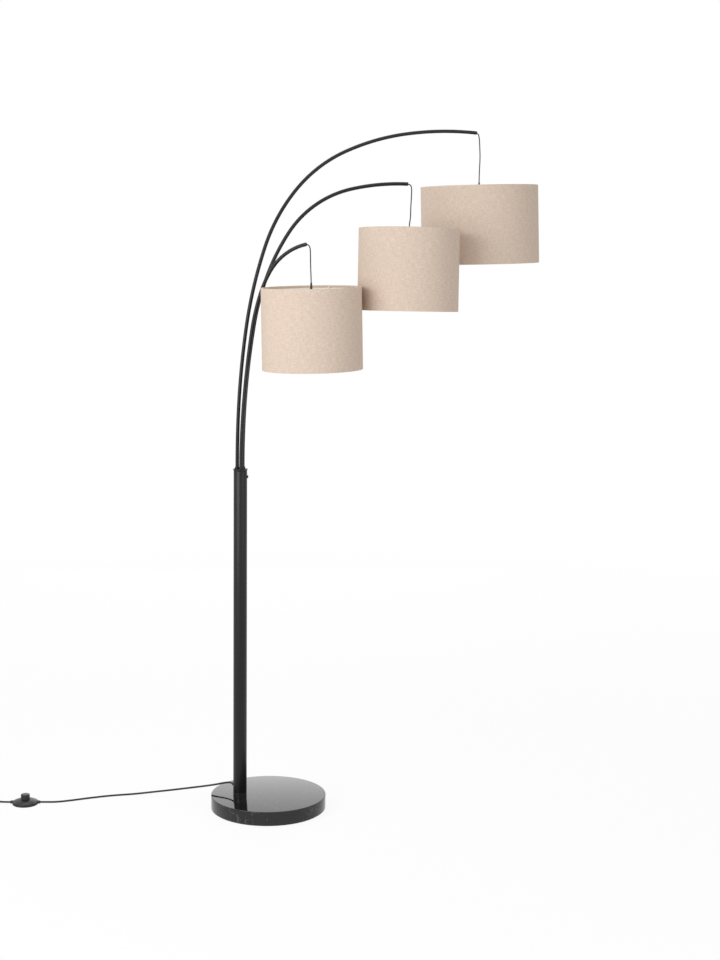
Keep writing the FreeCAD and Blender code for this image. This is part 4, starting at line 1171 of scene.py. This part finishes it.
@dataclass
class Studio:
    """White studio: camera at the photograph's viewpoint, soft lights, pale floor."""

    eye: Vector = field(default_factory=lambda: millimetres(87.3, -4378.7, 1458.3))
    focal: float = 1694.4  # focal length in pixels of the photograph
    # How far the frame's centre is off the lens's axis, right and up, in pixels.
    shift: Pair = (27.2, -140.1)
    pitch: float = 3.0  # how far the lens looks down
    yaw: float = -1.004  # how far it looks to the left of the back wall
    roll: float = 0.238  # how far the frame is turned about the lens's axis
    image_height: int = 960  # height of the photograph, its longer side, in pixels
    sensor: float = 36.0  # width of the sensor
    reach: float = 100.0  # how far the camera sees, in metres
    lights: tuple[SoftLight, ...] = (
        SoftLight("key", (-2.2, -2.8, 1.9), SHADES, 2.4, 80),
        SoftLight("fill", (3.0, -2.8, 2.0), SHADES, 2.6, 24),
        SoftLight("top", (-0.4, 0.4, 4.2), SHADES, 3.0, 40),
        # The polished slab mirrors this one towards the camera.
        SoftLight("back", (-0.1, 3.0, 1.05), SLAB, 2.2, 11))
    ambient: float = 0.5  # strength of the light from the surroundings
    floor_size: float = 30.0  # half the floor's side, in metres
    # How much of the floor glows white for the camera, near the lamp and far off.
    glow: Pair = (0.9, 1.0)
    # Distances from the lamp between which the glow changes, in metres.
    glow_range: Pair = (1.2, 4.0)

    def camera(self) -> None:
        """Create the camera; it looks to the back and a little down."""
        data = bpy.data.cameras.new("photo_camera")
        data.sensor_width = self.sensor
        data.lens = self.sensor * self.focal / self.image_height
        data.shift_x = self.shift[0] / self.image_height
        data.shift_y = self.shift[1] / self.image_height
        data.clip_end = self.reach
        camera = link_object("photo_camera", data)
        camera.matrix_world = (
            Matrix.Translation(self.eye) @ Matrix.Rotation(radians(self.yaw), 4, "Z")
            @ Matrix.Rotation(radians(90 - self.pitch), 4, "X")
            @ Matrix.Rotation(radians(self.roll), 4, "Z"))
        bpy.context.scene.camera = camera

    def world(self) -> None:
        """White surroundings, which shed a softer light on the lamp."""
        world = bpy.data.worlds.new("white_studio")
        bpy.context.scene.world = world
        tree = bare_tree(world)
        path = add_node(tree, "ShaderNodeLightPath")
        seen = maths(tree, "MAXIMUM", seen_rays(tree), path.outputs["Is Transmission Ray"])
        light = add_node(tree, "ShaderNodeBackground", inputs={
            "Color": linear("FFFFFF"),
            "Strength": remap(tree, seen, WHOLE_RANGE, (self.ambient, 1.0))})
        add_node(tree, "ShaderNodeOutputWorld", inputs={"Surface": light})

    def floor(self) -> None:
        """Pale floor that is nearly white to the camera and keeps the lamp's shadow."""
        bm = bmesh.new()
        bmesh.ops.create_grid(bm, x_segments=1, y_segments=1, size=self.floor_size)
        mesh = bpy.data.meshes.new("studio_floor")
        bm.to_mesh(mesh)
        bm.free()
        material = bpy.data.materials.new("white_paper_floor")
        tree = bare_tree(material)
        place = add_node(tree, "ShaderNodeTexCoord").outputs["Object"]
        away = add_node(tree, "ShaderNodeVectorMath", {"operation": "LENGTH"}, {0: place})
        fade = remap(tree, away.outputs["Value"], self.glow_range, self.glow)
        mix = add_node(tree, "ShaderNodeMixShader", inputs={
            0: maths(tree, "MULTIPLY", seen_rays(tree), fade),
            1: add_node(tree, "ShaderNodeBsdfDiffuse", inputs={"Color": linear("F6F6F6")}),
            2: add_node(tree, "ShaderNodeEmission", inputs={
                "Color": linear("FFFFFF"), "Strength": 1.0})})
        add_node(tree, "ShaderNodeOutputMaterial", inputs={"Surface": mix})
        mesh.materials.append(material)
        link_object("studio_floor", mesh)

    def build(self) -> None:
        """Set up the camera, the lights, the world and the floor."""
        bpy.context.scene.view_settings.view_transform = "Standard"
        self.camera()
        self.world()
        for light in self.lights:
            light.build()
        self.floor()


def lamp_arms(shop: Workshop) -> dict[str, Arm]:
    """The three arms.

    Args:
        shop: The lamp's workshop.

    Returns:
        The arms by name.
    """
    return {
        "high": Arm(shop, "high", "arm_high", 165, 20, (
            (110, 2), (240, 8), (220, 19), (170, 40), (170, 65.5), (180, 81), (212, 94))),
        "middle": Arm(shop, "middle", "head", 45, 1, (
            (110, 2.5), (260, 9.5), (150, 22.5), (100, 33), (200, 77), (147, 92.5))),
        "low": Arm(shop, "low", "arm_low", -75, -22, (
            (110, 3.5), (240, 9), (100, 19), (60, 31), (126, 78.5))),
    }


def lamp_pendants(arms: dict[str, Arm]) -> list[Pendant]:
    """The three pendants.

    Args:
        arms: The arms by name.

    Returns:
        A pendant for each arm.
    """
    high, middle, low = arms["high"], arms["middle"], arms["low"]
    return [
        Pendant(high.shop, high, 316.5, 209.0, 9.7, 1.5, 20, (
            (677.2, 1777.4), (682.8, 1770.6), (685, 1742), (686.4, 1708), (684, 1672),
            (683.8, 1645)), 0.141),
        Pendant(middle.shop, middle, 260.0, 212.0, 2.0, 1.8, 242, (
            (426.4, 1630.8), (432.4, 1624.6), (431.8, 1598), (430, 1570), (429.8, 1544),
            (426.8, 1529), (426.7, 1519)), 0.121),
        Pendant(low.shop, low, 255.0, 208.0, 11.6, 1.45, 39, (
            (181.2, 1475.7), (188.7, 1469.8), (190.2, 1452), (190.4, 1422), (191.9, 1394),
            (192.2, 1379)), 0.107),
    ]


def main() -> None:
    logging.basicConfig(level=logging.INFO, format="%(name)s: %(message)s")
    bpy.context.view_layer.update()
    shop = Workshop()
    arms = lamp_arms(shop)
    for part in (Base(shop), Pole(shop), *arms.values(), *lamp_pendants(arms), MainsCord(shop)):
        part.build()
    Studio().build()


if __name__ == "__main__":
    main()
